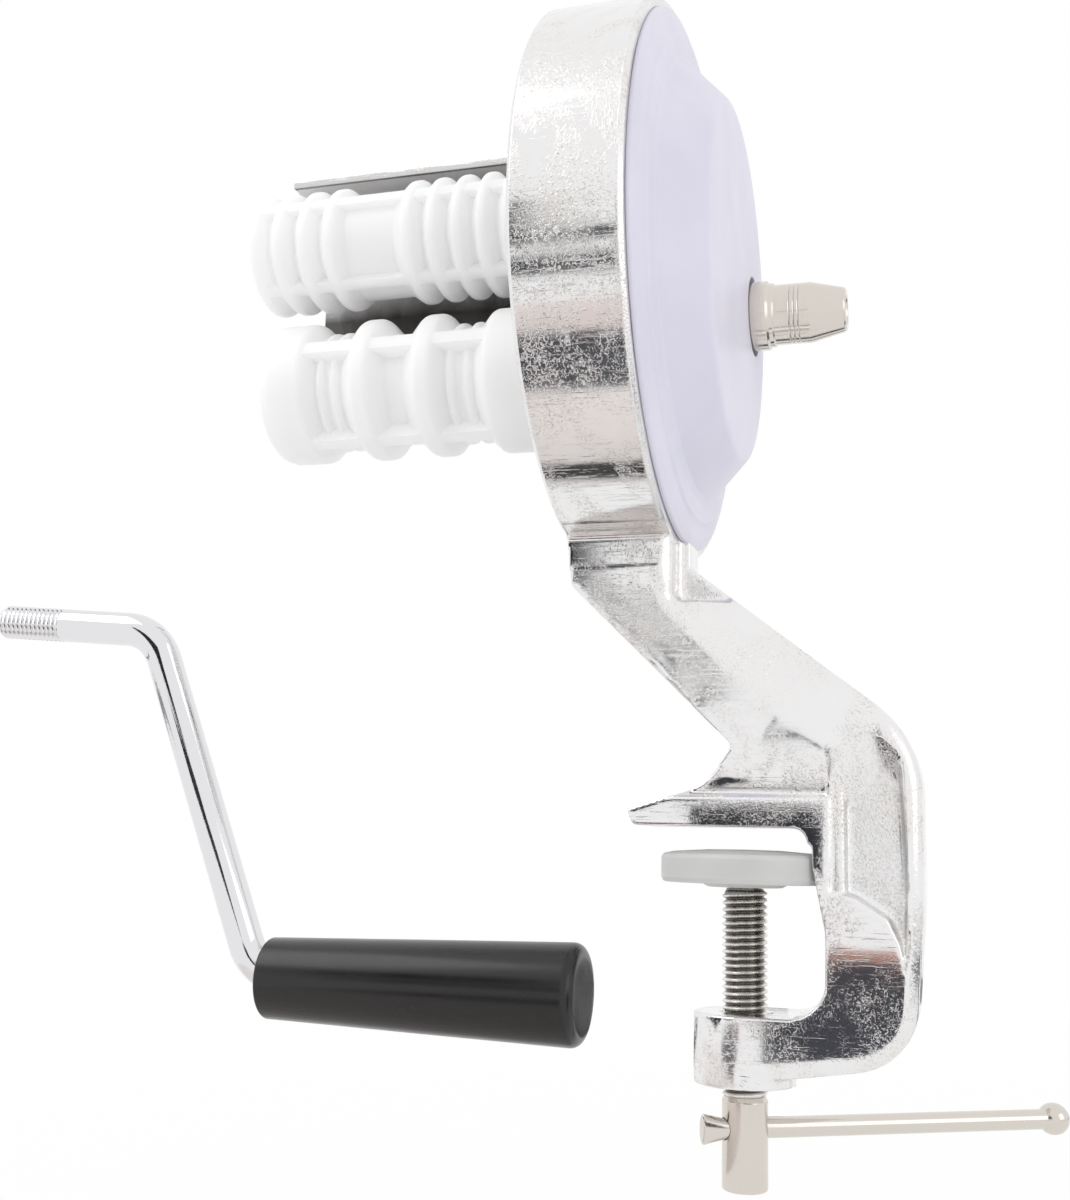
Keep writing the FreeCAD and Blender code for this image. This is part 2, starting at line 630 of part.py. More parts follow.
# Gear cover
def gear_cover():
    """The moulded cover: rim, shallow step, conical flank and flat disc, with a skirt inside the drum."""
    skirt = DRUM_RADIUS - RING_WALL - COVER_GAP
    profile = [
        (DRUM_DEPTH - COVER_SKIRT, skirt),
        (DRUM_DEPTH, skirt),
        (DRUM_DEPTH, COVER_RADIUS),
        (DRUM_DEPTH + 1.2, COVER_RADIUS),
        (DRUM_DEPTH + 2.0, COVER_RADIUS - 2.5),
        (DRUM_DEPTH + 2.6, COVER_RADIUS - 6.0),
        (DRUM_DEPTH + 3.0, COVER_RADIUS - 6.5),
        (DRUM_DEPTH + 3.3, COVER_RADIUS - 10.5),
        (DRUM_DEPTH + 4.0, COVER_RADIUS - 11.9),
        (DISC_DEPTH - 0.8, DISC_RADIUS + 1.8),
        (DISC_DEPTH, DISC_RADIUS),
        (DISC_DEPTH, 0),
        (DISC_DEPTH - COVER_WALL, 0),
        (DISC_DEPTH - COVER_WALL, DISC_RADIUS - 0.8),
        (DRUM_DEPTH + 1.4, COVER_RADIUS - 12.1),
        (DRUM_DEPTH + 0.4, skirt - COVER_WALL),
        (DRUM_DEPTH - COVER_SKIRT, skirt - COVER_WALL),
    ]
    hole = rod_x(DRUM_DEPTH, DISC_DEPTH + 1, SHAFT_HOLE_RADIUS, DRIVE_AXIS)
    return turned_x(profile, DRUM_AXIS).cut(hole)


# Rollers
def tooth_points(centre, pitch):
    """One rounded tooth of the upper roller, from the valley on its left."""
    shoulder = UPPER_VALLEY_RADIUS + SHOULDER_RISE * (UPPER_TOOTH_RADIUS - UPPER_VALLEY_RADIUS)
    return [
        (centre - 0.5 * pitch, UPPER_VALLEY_RADIUS),
        (centre - TOOTH_SHOULDER * pitch, shoulder),
        (centre - TOOTH_CROWN * pitch, UPPER_TOOTH_RADIUS),
        (centre + TOOTH_CROWN * pitch, UPPER_TOOTH_RADIUS),
        (centre + TOOTH_SHOULDER * pitch, shoulder),
    ]


def ridge_points(centre):
    """One narrow ridge of the lower roller."""
    return [
        (centre - RIDGE_HALF_BASE, LOWER_VALLEY_RADIUS),
        (centre - RIDGE_HALF_TOP, LOWER_RIDGE_RADIUS),
        (centre + RIDGE_HALF_TOP, LOWER_RIDGE_RADIUS),
        (centre + RIDGE_HALF_BASE, LOWER_VALLEY_RADIUS),
    ]


def add_blades(core, start, end, radius, width, first_angle, axis):
    """A roller's core with its straight blades."""
    y, z = axis
    blades = []
    for index in range(BLADES):
        corner = vec(depth_x(start), y, z - width / 2)
        blade = Part.makeBox(end - start, radius, width, corner)
        blade.rotate(vec(0, y, z), vec(1, 0, 0), first_angle + 360 / BLADES * index)
        blades.append(blade.common(rod_x(start, end, radius, axis)))
    return core.fuse(blades)


def upper_roller():
    """The upper roller: two groups of rounded teeth with a plain lane between them."""
    right = -BUSH_FLANGE - ROLLER_GAP
    left_edge = LEFT_TOOTH + (LEFT_TEETH - 0.5) * LEFT_PITCH
    right_edge = RIGHT_TOOTH + (RIGHT_TEETH - 0.5) * RIGHT_PITCH
    left_group = [LEFT_TOOTH + index * LEFT_PITCH for index in range(LEFT_TEETH)]
    right_group = [RIGHT_TOOTH + index * RIGHT_PITCH for index in range(RIGHT_TEETH)]
    teeth = [point for centre in left_group for point in tooth_points(centre, LEFT_PITCH)]
    profile = [(UPPER_END, 0), (UPPER_END, UPPER_TOOTH_RADIUS - 1.2)]
    profile += [point for point in teeth if point[0] > UPPER_END]
    profile.append((left_edge, UPPER_VALLEY_RADIUS))
    profile.append((left_edge + LANE_STEP, UPPER_LANE_RADIUS))
    profile.append((right_group[0] - 0.5 * RIGHT_PITCH - LANE_STEP, UPPER_LANE_RADIUS))
    profile += [point for centre in right_group for point in tooth_points(centre, RIGHT_PITCH)]
    profile.append((right_edge, UPPER_VALLEY_RADIUS))
    profile.append((right_edge + LANE_STEP, UPPER_LANE_RADIUS))
    profile += [(right, UPPER_LANE_RADIUS), (right, 0)]
    core = turned_x(profile, UPPER_AXIS)
    blade = (UPPER_BLADE_RADIUS, UPPER_BLADE_WIDTH, UPPER_BLADE_ANGLE)
    body = add_blades(core, UPPER_END + 1, right - 1, *blade, UPPER_AXIS)
    return body.cut(rod_x(-AXLE_REACH, 0, AXLE_RADIUS, UPPER_AXIS))


def lower_roller():
    """The lower roller: flanges that close the nip, with narrow ridges between them."""
    right = -BUSH_FLANGE - ROLLER_GAP
    top = LOWER_FLANGE_RADIUS
    valley = LOWER_VALLEY_RADIUS
    lane = LOWER_LANE_RADIUS
    left_ridges = [point for centre in LOWER_RIDGES[0] for point in ridge_points(centre)]
    right_ridges = [point for centre in LOWER_RIDGES[1] for point in ridge_points(centre)]
    profile = [(LOWER_END, 0), (LOWER_END, top - 3), (LOWER_END + 1.2, top - 1), (LOWER_END + 3.6, top)]
    profile += [(-70.1, top), (-67.0, valley)]
    profile += left_ridges
    profile += [(-60.1, lane), (-56.0, top), (-52.0, top), (-48.3, lane)]
    profile += [(-43.8, lane), (-39.3, top), (-35.5, top), (-32.6, valley)]
    profile += right_ridges
    profile += [(-25.1, valley), (-21.6, top), (right - 3, top), (right, top - 2), (right, 0)]
    core = turned_x(profile, LOWER_AXIS)
    blade = (LOWER_BLADE_RADIUS, LOWER_BLADE_WIDTH, LOWER_BLADE_ANGLE)
    body = add_blades(core, LOWER_END + 2.6, right - 2, *blade, LOWER_AXIS)
    return body.cut(rod_x(-AXLE_REACH, 0, AXLE_RADIUS, LOWER_AXIS))


# Clamp screw, pad and tommy bar
def clamp_pad():
    """The swivelling foot, with a blind hole for the screw's spigot and a groove for its clip."""
    hole = SPIGOT_RADIUS + RUN
    profile = [
        (0, PAD_TOP),
        (8, PAD_TOP - 0.1),
        (15.5, PAD_TOP - 0.6),
        (PAD_RADIUS - 0.4, PAD_RIM_TOP),
        (PAD_RADIUS, PAD_RIM_TOP - 0.5),
        (PAD_RADIUS, PAD_BOTTOM + 0.8),
        (PAD_RADIUS - 0.8, PAD_BOTTOM),
        (PAD_HUB_RADIUS, PAD_BOTTOM),
        (PAD_HUB_RADIUS - 1.0, PAD_HUB_BOTTOM),
        (hole, PAD_HUB_BOTTOM),
        (hole, PAD_CLIP_TOP - CLIP_THICKNESS),
        (hole + 2 * CLIP_GROOVE, PAD_CLIP_TOP - CLIP_THICKNESS),
        (hole + 2 * CLIP_GROOVE, PAD_CLIP_TOP),
        (hole, PAD_CLIP_TOP),
        (hole, SPIGOT_TOP + END_FLOAT),
        (0, SPIGOT_TOP + END_FLOAT),
    ]
    return turned_z(profile)


def pad_clip():
    """The spring clip between the pad's groove and the spigot's groove."""
    inner = SPIGOT_RADIUS - CLIP_GROOVE + RUN
    outer = SPIGOT_RADIUS + RUN + 2 * CLIP_GROOVE
    base = vec(0, 0, PAD_CLIP_TOP - CLIP_THICKNESS)
    ring = Part.makeCylinder(outer, CLIP_THICKNESS, base)
    ring = ring.cut(Part.makeCylinder(inner, CLIP_THICKNESS, base))
    return ring.cut(Part.makeBox(CLIP_SLOT, outer, CLIP_THICKNESS, base - vec(CLIP_SLOT / 2, 0, 0)))


def clamp_screw():
    """The screw: spigot with a clip groove, neck, threaded length and cross-drilled head."""
    groove_top = PAD_CLIP_TOP + RUN
    groove_bottom = PAD_CLIP_TOP - CLIP_THICKNESS - RUN
    groove = SPIGOT_RADIUS - CLIP_GROOVE
    profile = [
        (0, SPIGOT_TOP),
        (SPIGOT_RADIUS, SPIGOT_TOP),
        (SPIGOT_RADIUS, groove_top),
        (groove, groove_top),
        (groove, groove_bottom),
        (SPIGOT_RADIUS, groove_bottom),
        (SPIGOT_RADIUS, PAD_HUB_BOTTOM - END_FLOAT),
        (SCREW_NECK_RADIUS, PAD_HUB_BOTTOM - END_FLOAT),
        (SCREW_NECK_RADIUS, THREAD_TOP),
        (SCREW_RADIUS, THREAD_TOP - 0.8),
        (SCREW_RADIUS, HEAD_TOP + 1.5),
        (HEAD_RADIUS - 0.9, HEAD_TOP + 1.5),
        (HEAD_RADIUS, HEAD_TOP),
        (HEAD_RADIUS, HEAD_BOTTOM + 0.6),
        (HEAD_RADIUS - 0.6, HEAD_BOTTOM),
        (0, HEAD_BOTTOM),
    ]
    reach = 2 * HEAD_RADIUS
    hole = Part.makeCylinder(BAR_RADIUS + RUN, 2 * reach, vec(-reach, 0, BAR_HEIGHT), vec(1, 0, 0))
    hole.rotate(vec(0, 0, 0), vec(0, 0, 1), BAR_YAW)
    return turned_z(profile).cut(hole)


def tommy_bar():
    """The sliding bar, flattened at one end and with a ball at the other."""
    tab_end = -HEAD_RADIUS - 0.1
    bar = Part.makeCylinder(BAR_RADIUS, BALL_REACH - tab_end, vec(tab_end, 0, BAR_HEIGHT), vec(1, 0, 0))
    ball = Part.makeSphere(BALL_RADIUS, vec(BALL_REACH, 0, BAR_HEIGHT))
    corner = vec(tab_end - TAB_LENGTH, -TAB_WIDTH / 2, BAR_HEIGHT - TAB_HEIGHT / 2)
    tab = Part.makeBox(TAB_LENGTH, TAB_WIDTH, TAB_HEIGHT, corner)
    tab = tab.makeFillet(1.0, [edge for edge in tab.Edges if edge.Length == TAB_WIDTH])
    shape = bar.fuse([ball, tab])
    shape.rotate(vec(0, 0, 0), vec(0, 0, 1), BAR_YAW)
    return shape


# Crank
GRIP_X = CRANK_FOOT[0] + GRIP_GAP
GRIP_AXIS = (CRANK_Y, CRANK_FOOT[1])
ROD_END = GRIP_X + GRIP_LENGTH - GRIP_CAP - ROD_TO_CAP


def turned_grip(profile):
    """A solid turned about the grip's axis, from a closed profile of (distance from its left end, radius)."""
    y, z = GRIP_AXIS
    points = [vec(GRIP_X + along, y, z + radius) for along, radius in profile]
    face = Part.Face(Part.makePolygon(points + points[:1]))
    return face.revolve(vec(0, y, z), vec(1, 0, 0), 360)


def crank_rod():
    """The bent rod, bevelled at its threaded tip."""
    stations = [
        (vec(CRANK_TIP[0], CRANK_Y, CRANK_TIP[1]), 0),
        (vec(CRANK_TOP[0], CRANK_Y, CRANK_TOP[1]), CRANK_BEND),
        (vec(CRANK_FOOT[0], CRANK_Y, CRANK_FOOT[1]), CRANK_BEND),
        (vec(ROD_END, CRANK_Y, CRANK_FOOT[1]), 0),
    ]
    path = rounded_path(stations, False)
    tip = stations[0][0]
    direction = (stations[1][0] - tip).normalize()
    section = Part.Wire(Part.makeCircle(ROD_RADIUS, tip, direction))
    rod = path.makePipeShell([section], True, False)
    bevel = CRANK_THREAD_BEVEL
    cone = Part.makeCone(CRANK_THREAD_RADIUS - bevel, CRANK_THREAD_RADIUS, bevel, tip, direction)
    start = tip + direction * bevel
    thread = Part.makeCylinder(CRANK_THREAD_RADIUS, CRANK_THREAD_LENGTH - bevel, start, direction)
    waste = Part.makeCylinder(ROD_RADIUS + 1, CRANK_THREAD_LENGTH, tip, direction)
    return rod.cut(waste.cut([cone, thread]))


def crank_grip():
    """The tapered grip: a mouth over the rod's bend, a bore and a pocket for the washer and cap."""
    bore = ROD_RADIUS + GRIP_BORE_GAP
    pocket = GRIP_LENGTH - GRIP_POCKET_DEPTH
    profile = [
        (0, GRIP_MOUTH_RADIUS),
        (0, GRIP_SMALL_RADIUS - 0.6),
        (0.6, GRIP_SMALL_RADIUS),
        (GRIP_LENGTH - GRIP_EDGE, GRIP_LARGE_RADIUS),
        (GRIP_LENGTH - 0.3 * GRIP_EDGE, GRIP_LARGE_RADIUS - 0.3 * GRIP_EDGE),
        (GRIP_LENGTH, GRIP_LARGE_RADIUS - GRIP_EDGE),
        (GRIP_LENGTH, GRIP_POCKET_RADIUS),
        (pocket, GRIP_POCKET_RADIUS),
        (pocket, bore),
        (GRIP_MOUTH_DEPTH, bore),
        (GRIP_MOUTH_DEPTH, GRIP_MOUTH_RADIUS),
    ]
    return turned_grip(profile)


def grip_washer():
    """The push-on washer that keeps the grip on the rod."""
    start = GRIP_LENGTH - GRIP_POCKET_DEPTH + END_FLOAT
    end = start + WASHER_THICKNESS
    outer = GRIP_POCKET_RADIUS - END_FLOAT
    return turned_grip([(start, ROD_RADIUS), (start, outer), (end, outer), (end, ROD_RADIUS)])


def grip_end_cap():
    """The plug that closes the grip's end."""
    start = GRIP_LENGTH - GRIP_CAP
    return turned_grip([(start, 0), (start, GRIP_POCKET_RADIUS), (GRIP_LENGTH, GRIP_POCKET_RADIUS), (GRIP_LENGTH, 0)])


PIECES = {
    "frame_casting": frame_casting(),
    "gear_cover": gear_cover(),
    "upper_bush": roller_bush(UPPER_AXIS),
    "lower_bush": roller_bush(LOWER_AXIS),
    "drive_bush": drive_bush(),
    "drive_shaft": drive_shaft(),
    "drive_pinion": drive_pinion(),
    "thrust_washer": thrust_washer(),
    "upper_roller": upper_roller(),
    "upper_axle": axle(UPPER_AXIS, UPPER_GEAR_WIDTH),
    "upper_gear": roller_gear(UPPER_AXIS, UPPER_GEAR_WIDTH, UPPER_TOOTH_ANGLE),
    "upper_washer": gear_washer(UPPER_AXIS, UPPER_GEAR_WIDTH),
    "upper_circlip": circlip(UPPER_AXIS, UPPER_GEAR_WIDTH),
    "lower_roller": lower_roller(),
    "lower_axle": axle(LOWER_AXIS, LOWER_GEAR_WIDTH),
    "lower_gear": roller_gear(LOWER_AXIS, LOWER_GEAR_WIDTH, LOWER_TOOTH_ANGLE),
    "lower_washer": gear_washer(LOWER_AXIS, LOWER_GEAR_WIDTH),
    "lower_circlip": circlip(LOWER_AXIS, LOWER_GEAR_WIDTH),
    "clamp_pad": clamp_pad(),
    "pad_clip": pad_clip(),
    "clamp_screw": clamp_screw(),
    "tommy_bar": tommy_bar(),
    "crank_rod": crank_rod(),
    "crank_grip": crank_grip(),
    "grip_washer": grip_washer(),
    "grip_end_cap": grip_end_cap(),
}

os.makedirs("parts", exist_ok=True)
for name, shape in PIECES.items():
    print(name, shape.isValid(), len(shape.Solids), round(shape.Volume))
    shape.exportStep("parts/" + name + ".step")
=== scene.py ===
import json
import math

import bmesh
import bpy
from bpy.props import FloatProperty, IntProperty, PointerProperty, StringProperty
from mathutils import Matrix, Vector


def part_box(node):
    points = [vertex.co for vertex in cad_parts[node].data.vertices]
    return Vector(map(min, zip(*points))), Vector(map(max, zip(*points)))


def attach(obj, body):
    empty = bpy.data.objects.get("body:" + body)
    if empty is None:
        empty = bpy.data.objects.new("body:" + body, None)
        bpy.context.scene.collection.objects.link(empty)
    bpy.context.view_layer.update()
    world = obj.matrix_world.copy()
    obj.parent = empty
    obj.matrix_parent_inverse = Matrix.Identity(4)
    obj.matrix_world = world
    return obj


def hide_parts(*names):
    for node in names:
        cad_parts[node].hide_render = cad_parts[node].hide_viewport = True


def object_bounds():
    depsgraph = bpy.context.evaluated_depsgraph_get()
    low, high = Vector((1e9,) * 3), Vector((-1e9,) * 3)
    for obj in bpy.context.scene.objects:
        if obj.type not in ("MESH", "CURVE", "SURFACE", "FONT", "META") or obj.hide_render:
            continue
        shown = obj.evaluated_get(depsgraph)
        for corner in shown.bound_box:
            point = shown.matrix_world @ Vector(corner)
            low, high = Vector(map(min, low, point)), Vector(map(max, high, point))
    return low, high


bl_info = {
    "name": "Cavatelli maker",
    "version": (1, 0, 0),
    "blender": (4, 5, 0),
    "location": "3D View > Sidebar > Cavatelli",
    "description": "Dresses a hand-cranked cavatelli maker and sets its studio",
    "category": "Object",
}

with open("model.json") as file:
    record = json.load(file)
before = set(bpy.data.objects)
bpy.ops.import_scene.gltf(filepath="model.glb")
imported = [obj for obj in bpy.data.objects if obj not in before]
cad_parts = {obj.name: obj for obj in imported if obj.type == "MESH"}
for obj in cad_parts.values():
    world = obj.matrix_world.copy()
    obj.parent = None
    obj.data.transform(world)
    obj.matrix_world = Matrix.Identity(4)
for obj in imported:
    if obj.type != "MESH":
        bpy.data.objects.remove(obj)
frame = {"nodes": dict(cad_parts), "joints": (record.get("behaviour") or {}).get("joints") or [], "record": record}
CAD_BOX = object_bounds()
NODES = frame["nodes"]
MM = 0.001
ORIGIN = Vector((0, 0, 0))
AXIS_X = Vector((1, 0, 0))
AXIS_Z = Vector((0, 0, 1))


# Places read from the frame
def middle(node):
    """The centre of a node's box."""
    low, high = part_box(node)
    return (Vector(low) + Vector(high)) / 2


def joint_axis(name):
    """The direction of one of the frame's joints."""
    joint = next(joint for joint in frame["joints"] if joint["name"] == name)
    return Vector(joint["axis"]).normalized()


BUSH_FLANGE = 1.0 * MM
DRUM_DEPTH = 24.4 * MM
DRUM_CENTRE = middle("gear_cover")
DRUM_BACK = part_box("upper_bush")[0][0] + BUSH_FLANGE
DRUM_FRONT = DRUM_BACK + DRUM_DEPTH
SHAFT_CENTRE = middle("drive_bush")
UPPER_CENTRE = middle("upper_bush")
LOWER_CENTRE = middle("lower_bush")


def at_depth(centre):
    """The point on a line along X through centre that lies in the plane of the drum's back face."""
    return Vector((DRUM_BACK, centre.y, centre.z))


# Settings
class MetalSettings(bpy.types.PropertyGroup):
    """Colours of the metals and the fine sizes of the casting"""
    cast: StringProperty(name="Casting", description="Tumbled and belt-brushed aluminium", default="#EEEEEF")
    nickel: StringProperty(
        name="Nickel", description="Nickel plate of the drive shaft, the screw's head and the cross bar",
        default="#D9D3CB",
    )
    chrome: StringProperty(name="Chrome", description="Chrome plate of the crank", default="#E4E4E6")
    steel: StringProperty(
        name="Steel", description="Plain steel of the axles, washers and clips", default="#DAD7D4"
    )
    bronze: StringProperty(name="Bronze", description="Sintered bronze of the bushes", default="#B58A4E")
    edge: FloatProperty(
        name="Drum edge", description="Rounding of the drum's edges", default=0.35 * MM, unit="LENGTH"
    )
    grain: FloatProperty(
        name="Arm grain", description="Mesh size of the smoothed arm and clamp", default=0.5 * MM,
        unit="LENGTH",
    )
    softness: IntProperty(
        name="Arm softness", description="Smoothing rounds of the arm and clamp", default=4
    )
    crease: IntProperty(
        name="Crease softness", description="Smoothing rounds of the arm's crease", default=70
    )


class PlasticSettings(bpy.types.PropertyGroup):
    """Colours of the plastics"""
    cover: StringProperty(name="Cover", description="Lavender-white moulded cover", default="#DEDCEA")
    roller: StringProperty(name="Rollers", description="White moulded rollers", default="#FBFBFB")
    pad: StringProperty(name="Pad", description="Milky clamp pad", default="#D0D0CE")
    gear: StringProperty(name="Gears", description="Natural nylon gears", default="#E6E2D6")
    grip: StringProperty(name="Grip", description="Black moulded grip", default="#0B0B0C")


class ThreadSettings(bpy.types.PropertyGroup):
    """Sizes of the two threads"""
    screw_pitch: FloatProperty(
        name="Screw pitch", description="Pitch of the clamp screw", default=1.5 * MM, unit="LENGTH"
    )
    screw_depth: FloatProperty(
        name="Screw depth", description="Groove depth of the clamp screw", default=0.85 * MM, unit="LENGTH"
    )
    crank_pitch: FloatProperty(
        name="Crank pitch", description="Pitch of the crank's end", default=1.25 * MM, unit="LENGTH"
    )
    crank_depth: FloatProperty(
        name="Crank depth", description="Groove depth of the crank's end", default=0.65 * MM, unit="LENGTH"
    )
    facets: IntProperty(name="Facets", description="Steps round a thread", default=72)


class StageSettings(bpy.types.PropertyGroup):
    """The floor's colour and the strength of the lights"""
    floor: StringProperty(name="Floor", description="Pale floor", default="#F4F4F4")
    world_light: FloatProperty(name="World", description="Strength of the even light", default=0.95)
    key_power: FloatProperty(
        name="Key light", description="Softbox above left", default=2.9, unit="POWER"
    )
    fill_power: FloatProperty(
        name="Fill light", description="Softbox on the right", default=0.8, unit="POWER"
    )


class CavatelliSettings(bpy.types.PropertyGroup):
    """All settings of the cavatelli maker"""
    metal: PointerProperty(type=MetalSettings)
    plastic: PointerProperty(type=PlasticSettings)
    thread: PointerProperty(type=ThreadSettings)
    stage: PointerProperty(type=StageSettings)


def settings():
    """The scene's settings."""
    return bpy.context.scene.cavatelli


# Colour and nodes
WHITE = (1, 1, 1, 1)
RAMP = "ShaderNodeMapRange"         # its inputs are a value, from low, from high, to low, to high
MATHS = "ShaderNodeMath"
MIX = "ShaderNodeMix"
FIRST = 6                           # the Mix node's colour inputs and its colour output
SECOND = 7
MIXED = 2


def linear(code):
    """Linear RGBA of an sRGB hex colour such as #FFFFFF."""
    channels = [int(code[index:index + 2], 16) / 255 for index in (1, 3, 5)]
    return [c / 12.92 if c <= 0.04045 else ((c + 0.055) / 1.055) ** 2.4 for c in channels] + [1.0]


def add(tree, kind, values=(), **attributes):
    """Adds a node with its attributes, and gives its inputs values or links.

    The values are a dictionary by input name or number, or a list in the inputs' order. A node
    among them stands for its first output.
    """
    node = tree.nodes.new(kind)
    for key, value in attributes.items():
        setattr(node, key, value)
    pairs = values.items() if isinstance(values, dict) else enumerate(values)
    for key, value in pairs:
        if isinstance(value, bpy.types.Node):
            value = value.outputs[0]
        if isinstance(value, bpy.types.NodeSocket):
            tree.links.new(value, node.inputs[key])
        else:
            node.inputs[key].default_value = value
    return node


def new_material(name):
    """A material with an empty node tree."""
    material = bpy.data.materials.new(name)
    material.use_nodes = True
    material.node_tree.nodes.clear()
    return material


def surface(material, values):
    """Ends a material in one Principled shader with the given inputs."""
    tree = material.node_tree
    shader = add(tree, "ShaderNodeBsdfPrincipled", values)
    add(tree, "ShaderNodeOutputMaterial", {"Surface": shader})
    return material


def pattern(tree, cycles, detail, roughness, distortion=0.0):
    """Noise on the object's own coordinates, with its cycles per metre along each axis."""
    place = add(tree, "ShaderNodeTexCoord").outputs["Object"]
    space = add(tree, "ShaderNodeMapping", {"Vector": place, "Scale": cycles})
    return add(tree, "ShaderNodeTexNoise", {
        "Vector": space, "Scale": 1.0, "Detail": detail, "Roughness": roughness, "Distortion": distortion,
    })


def object_axes(tree):
    """The object's own X, Y and Z coordinates."""
    place = add(tree, "ShaderNodeTexCoord").outputs["Object"]
    return add(tree, "ShaderNodeSeparateXYZ", [place]).outputs


def within(tree, value, low, high, soft):
    """One between two limits, zero outside them, with soft ends."""
    above = add(tree, RAMP, [value, low - soft, low + soft, 0.0, 1.0])
    below = add(tree, RAMP, [value, high - soft, high + soft, 1.0, 0.0])
    return add(tree, MATHS, [above, below], operation="MULTIPLY")


# Materials
HOLLOW_X = (20 * MM, 36 * MM)               # the hollows in the clamp's sides, from and to
HOLLOW_Y = (-10.6 * MM, 10.6 * MM)
HOLLOW_Z = (-34 * MM, 22 * MM)
JAW_Z = (0.0, 6.2 * MM)                     # the band along the jaw's sides
JAW_LEFT = (-16 * MM, 4 * MM)               # where it fades in and out along X
JAW_RIGHT = (19 * MM, 21 * MM)
RIM_X = (DRUM_FRONT - 1.6 * MM, DRUM_FRONT - 0.9 * MM)
RIM_Z = (64 * MM, 68 * MM)                  # the rim's skin starts above the neck
PLATE_X = (DRUM_BACK - 0.5 * MM, DRUM_BACK)
PLATE_Y = (8 * MM, 27.3 * MM)               # the forming plate's wall behind the rollers
PLATE_LOW = (138 * MM, 146 * MM)            # the painted shade on its lower half, behind the rollers, ends between these heights
PLATE_TOP = (160 * MM, 161 * MM)
PLATE_EDGE = (3.05 * MM, 3.25 * MM)         # where the painted shade on its front edge deepens into a dark line
PLATE_INSIDE = (3.9 * MM, 4.3 * MM)         # where it ends, and the rough inside begins


def sand_skin(tree):
    """Where the casting keeps its rough skin: the hollows in the clamp's sides, the jaw, the drum's rim."""
    x, y, z = object_axes(tree)
    along = within(tree, x, *HOLLOW_X, 1.0 * MM)
    across = within(tree, y, *HOLLOW_Y, 0.3 * MM)
    upright = within(tree, z, *HOLLOW_Z, 1.0 * MM)
    hollow = add(tree, MATHS, [across, upright], operation="MULTIPLY")
    hollow = add(tree, MATHS, [along, hollow], operation="MULTIPLY")
    jaw = within(tree, z, *JAW_Z, 0.3 * MM)
    left = add(tree, RAMP, [x, *JAW_LEFT, 0.0, 0.4])
    right = add(tree, RAMP, [x, *JAW_RIGHT, 1.0, 0.0])
    jaw = add(tree, MATHS, [jaw, left], operation="MULTIPLY")
    jaw = add(tree, MATHS, [jaw, right], operation="MULTIPLY")
    rim = add(tree, RAMP, [x, *RIM_X, 0.0, 1.0])
    above = add(tree, RAMP, [z, *RIM_Z, 0.0, 1.0])
    rim = add(tree, MATHS, [rim, above], operation="MULTIPLY")
    skin = add(tree, MATHS, [hollow, jaw], operation="MAXIMUM")
    return add(tree, MATHS, [skin, rim], operation="MAXIMUM")


def plate_shade_and_roughness(tree):
    """Where painted shade darkens the forming plate, in the nip behind the rollers and along its front edge, and
    where it is rough: the belt never reached its inside.
    """
    x, y, z = object_axes(tree)
    along = add(tree, RAMP, [x, *PLATE_X, 1.0, 0.0])
    across = within(tree, y, *PLATE_Y, 0.3 * MM)
    # Painted shade on the wall's lower half, in the nip behind the rollers
    low = add(tree, RAMP, [z, *PLATE_LOW, 1.0, 0.0])
    low = add(tree, MATHS, [across, low], operation="MULTIPLY")
    high = add(tree, RAMP, [z, *PLATE_TOP, 0.0, 1.0])
    # Painted shade along the top of the front edge: light grey, deepening to a dark line behind it
    arris = add(tree, RAMP, [y, *PLATE_EDGE, 0.25, 0.9])
    front = add(tree, RAMP, [y, *PLATE_INSIDE, 1.0, 0.0])
    edge = add(tree, MATHS, [arris, front], operation="MULTIPLY")
    edge = add(tree, MATHS, [high, edge], operation="MULTIPLY")
    painted_shade = add(tree, MATHS, [low, edge], operation="MAXIMUM")
    inside = add(tree, RAMP, [y, *PLATE_INSIDE, 0.0, 0.6])
    rough = add(tree, MATHS, [high, inside], operation="MULTIPLY")
    painted_shade = add(tree, MATHS, [along, painted_shade], operation="MULTIPLY")
    return painted_shade, add(tree, MATHS, [along, rough], operation="MULTIPLY")


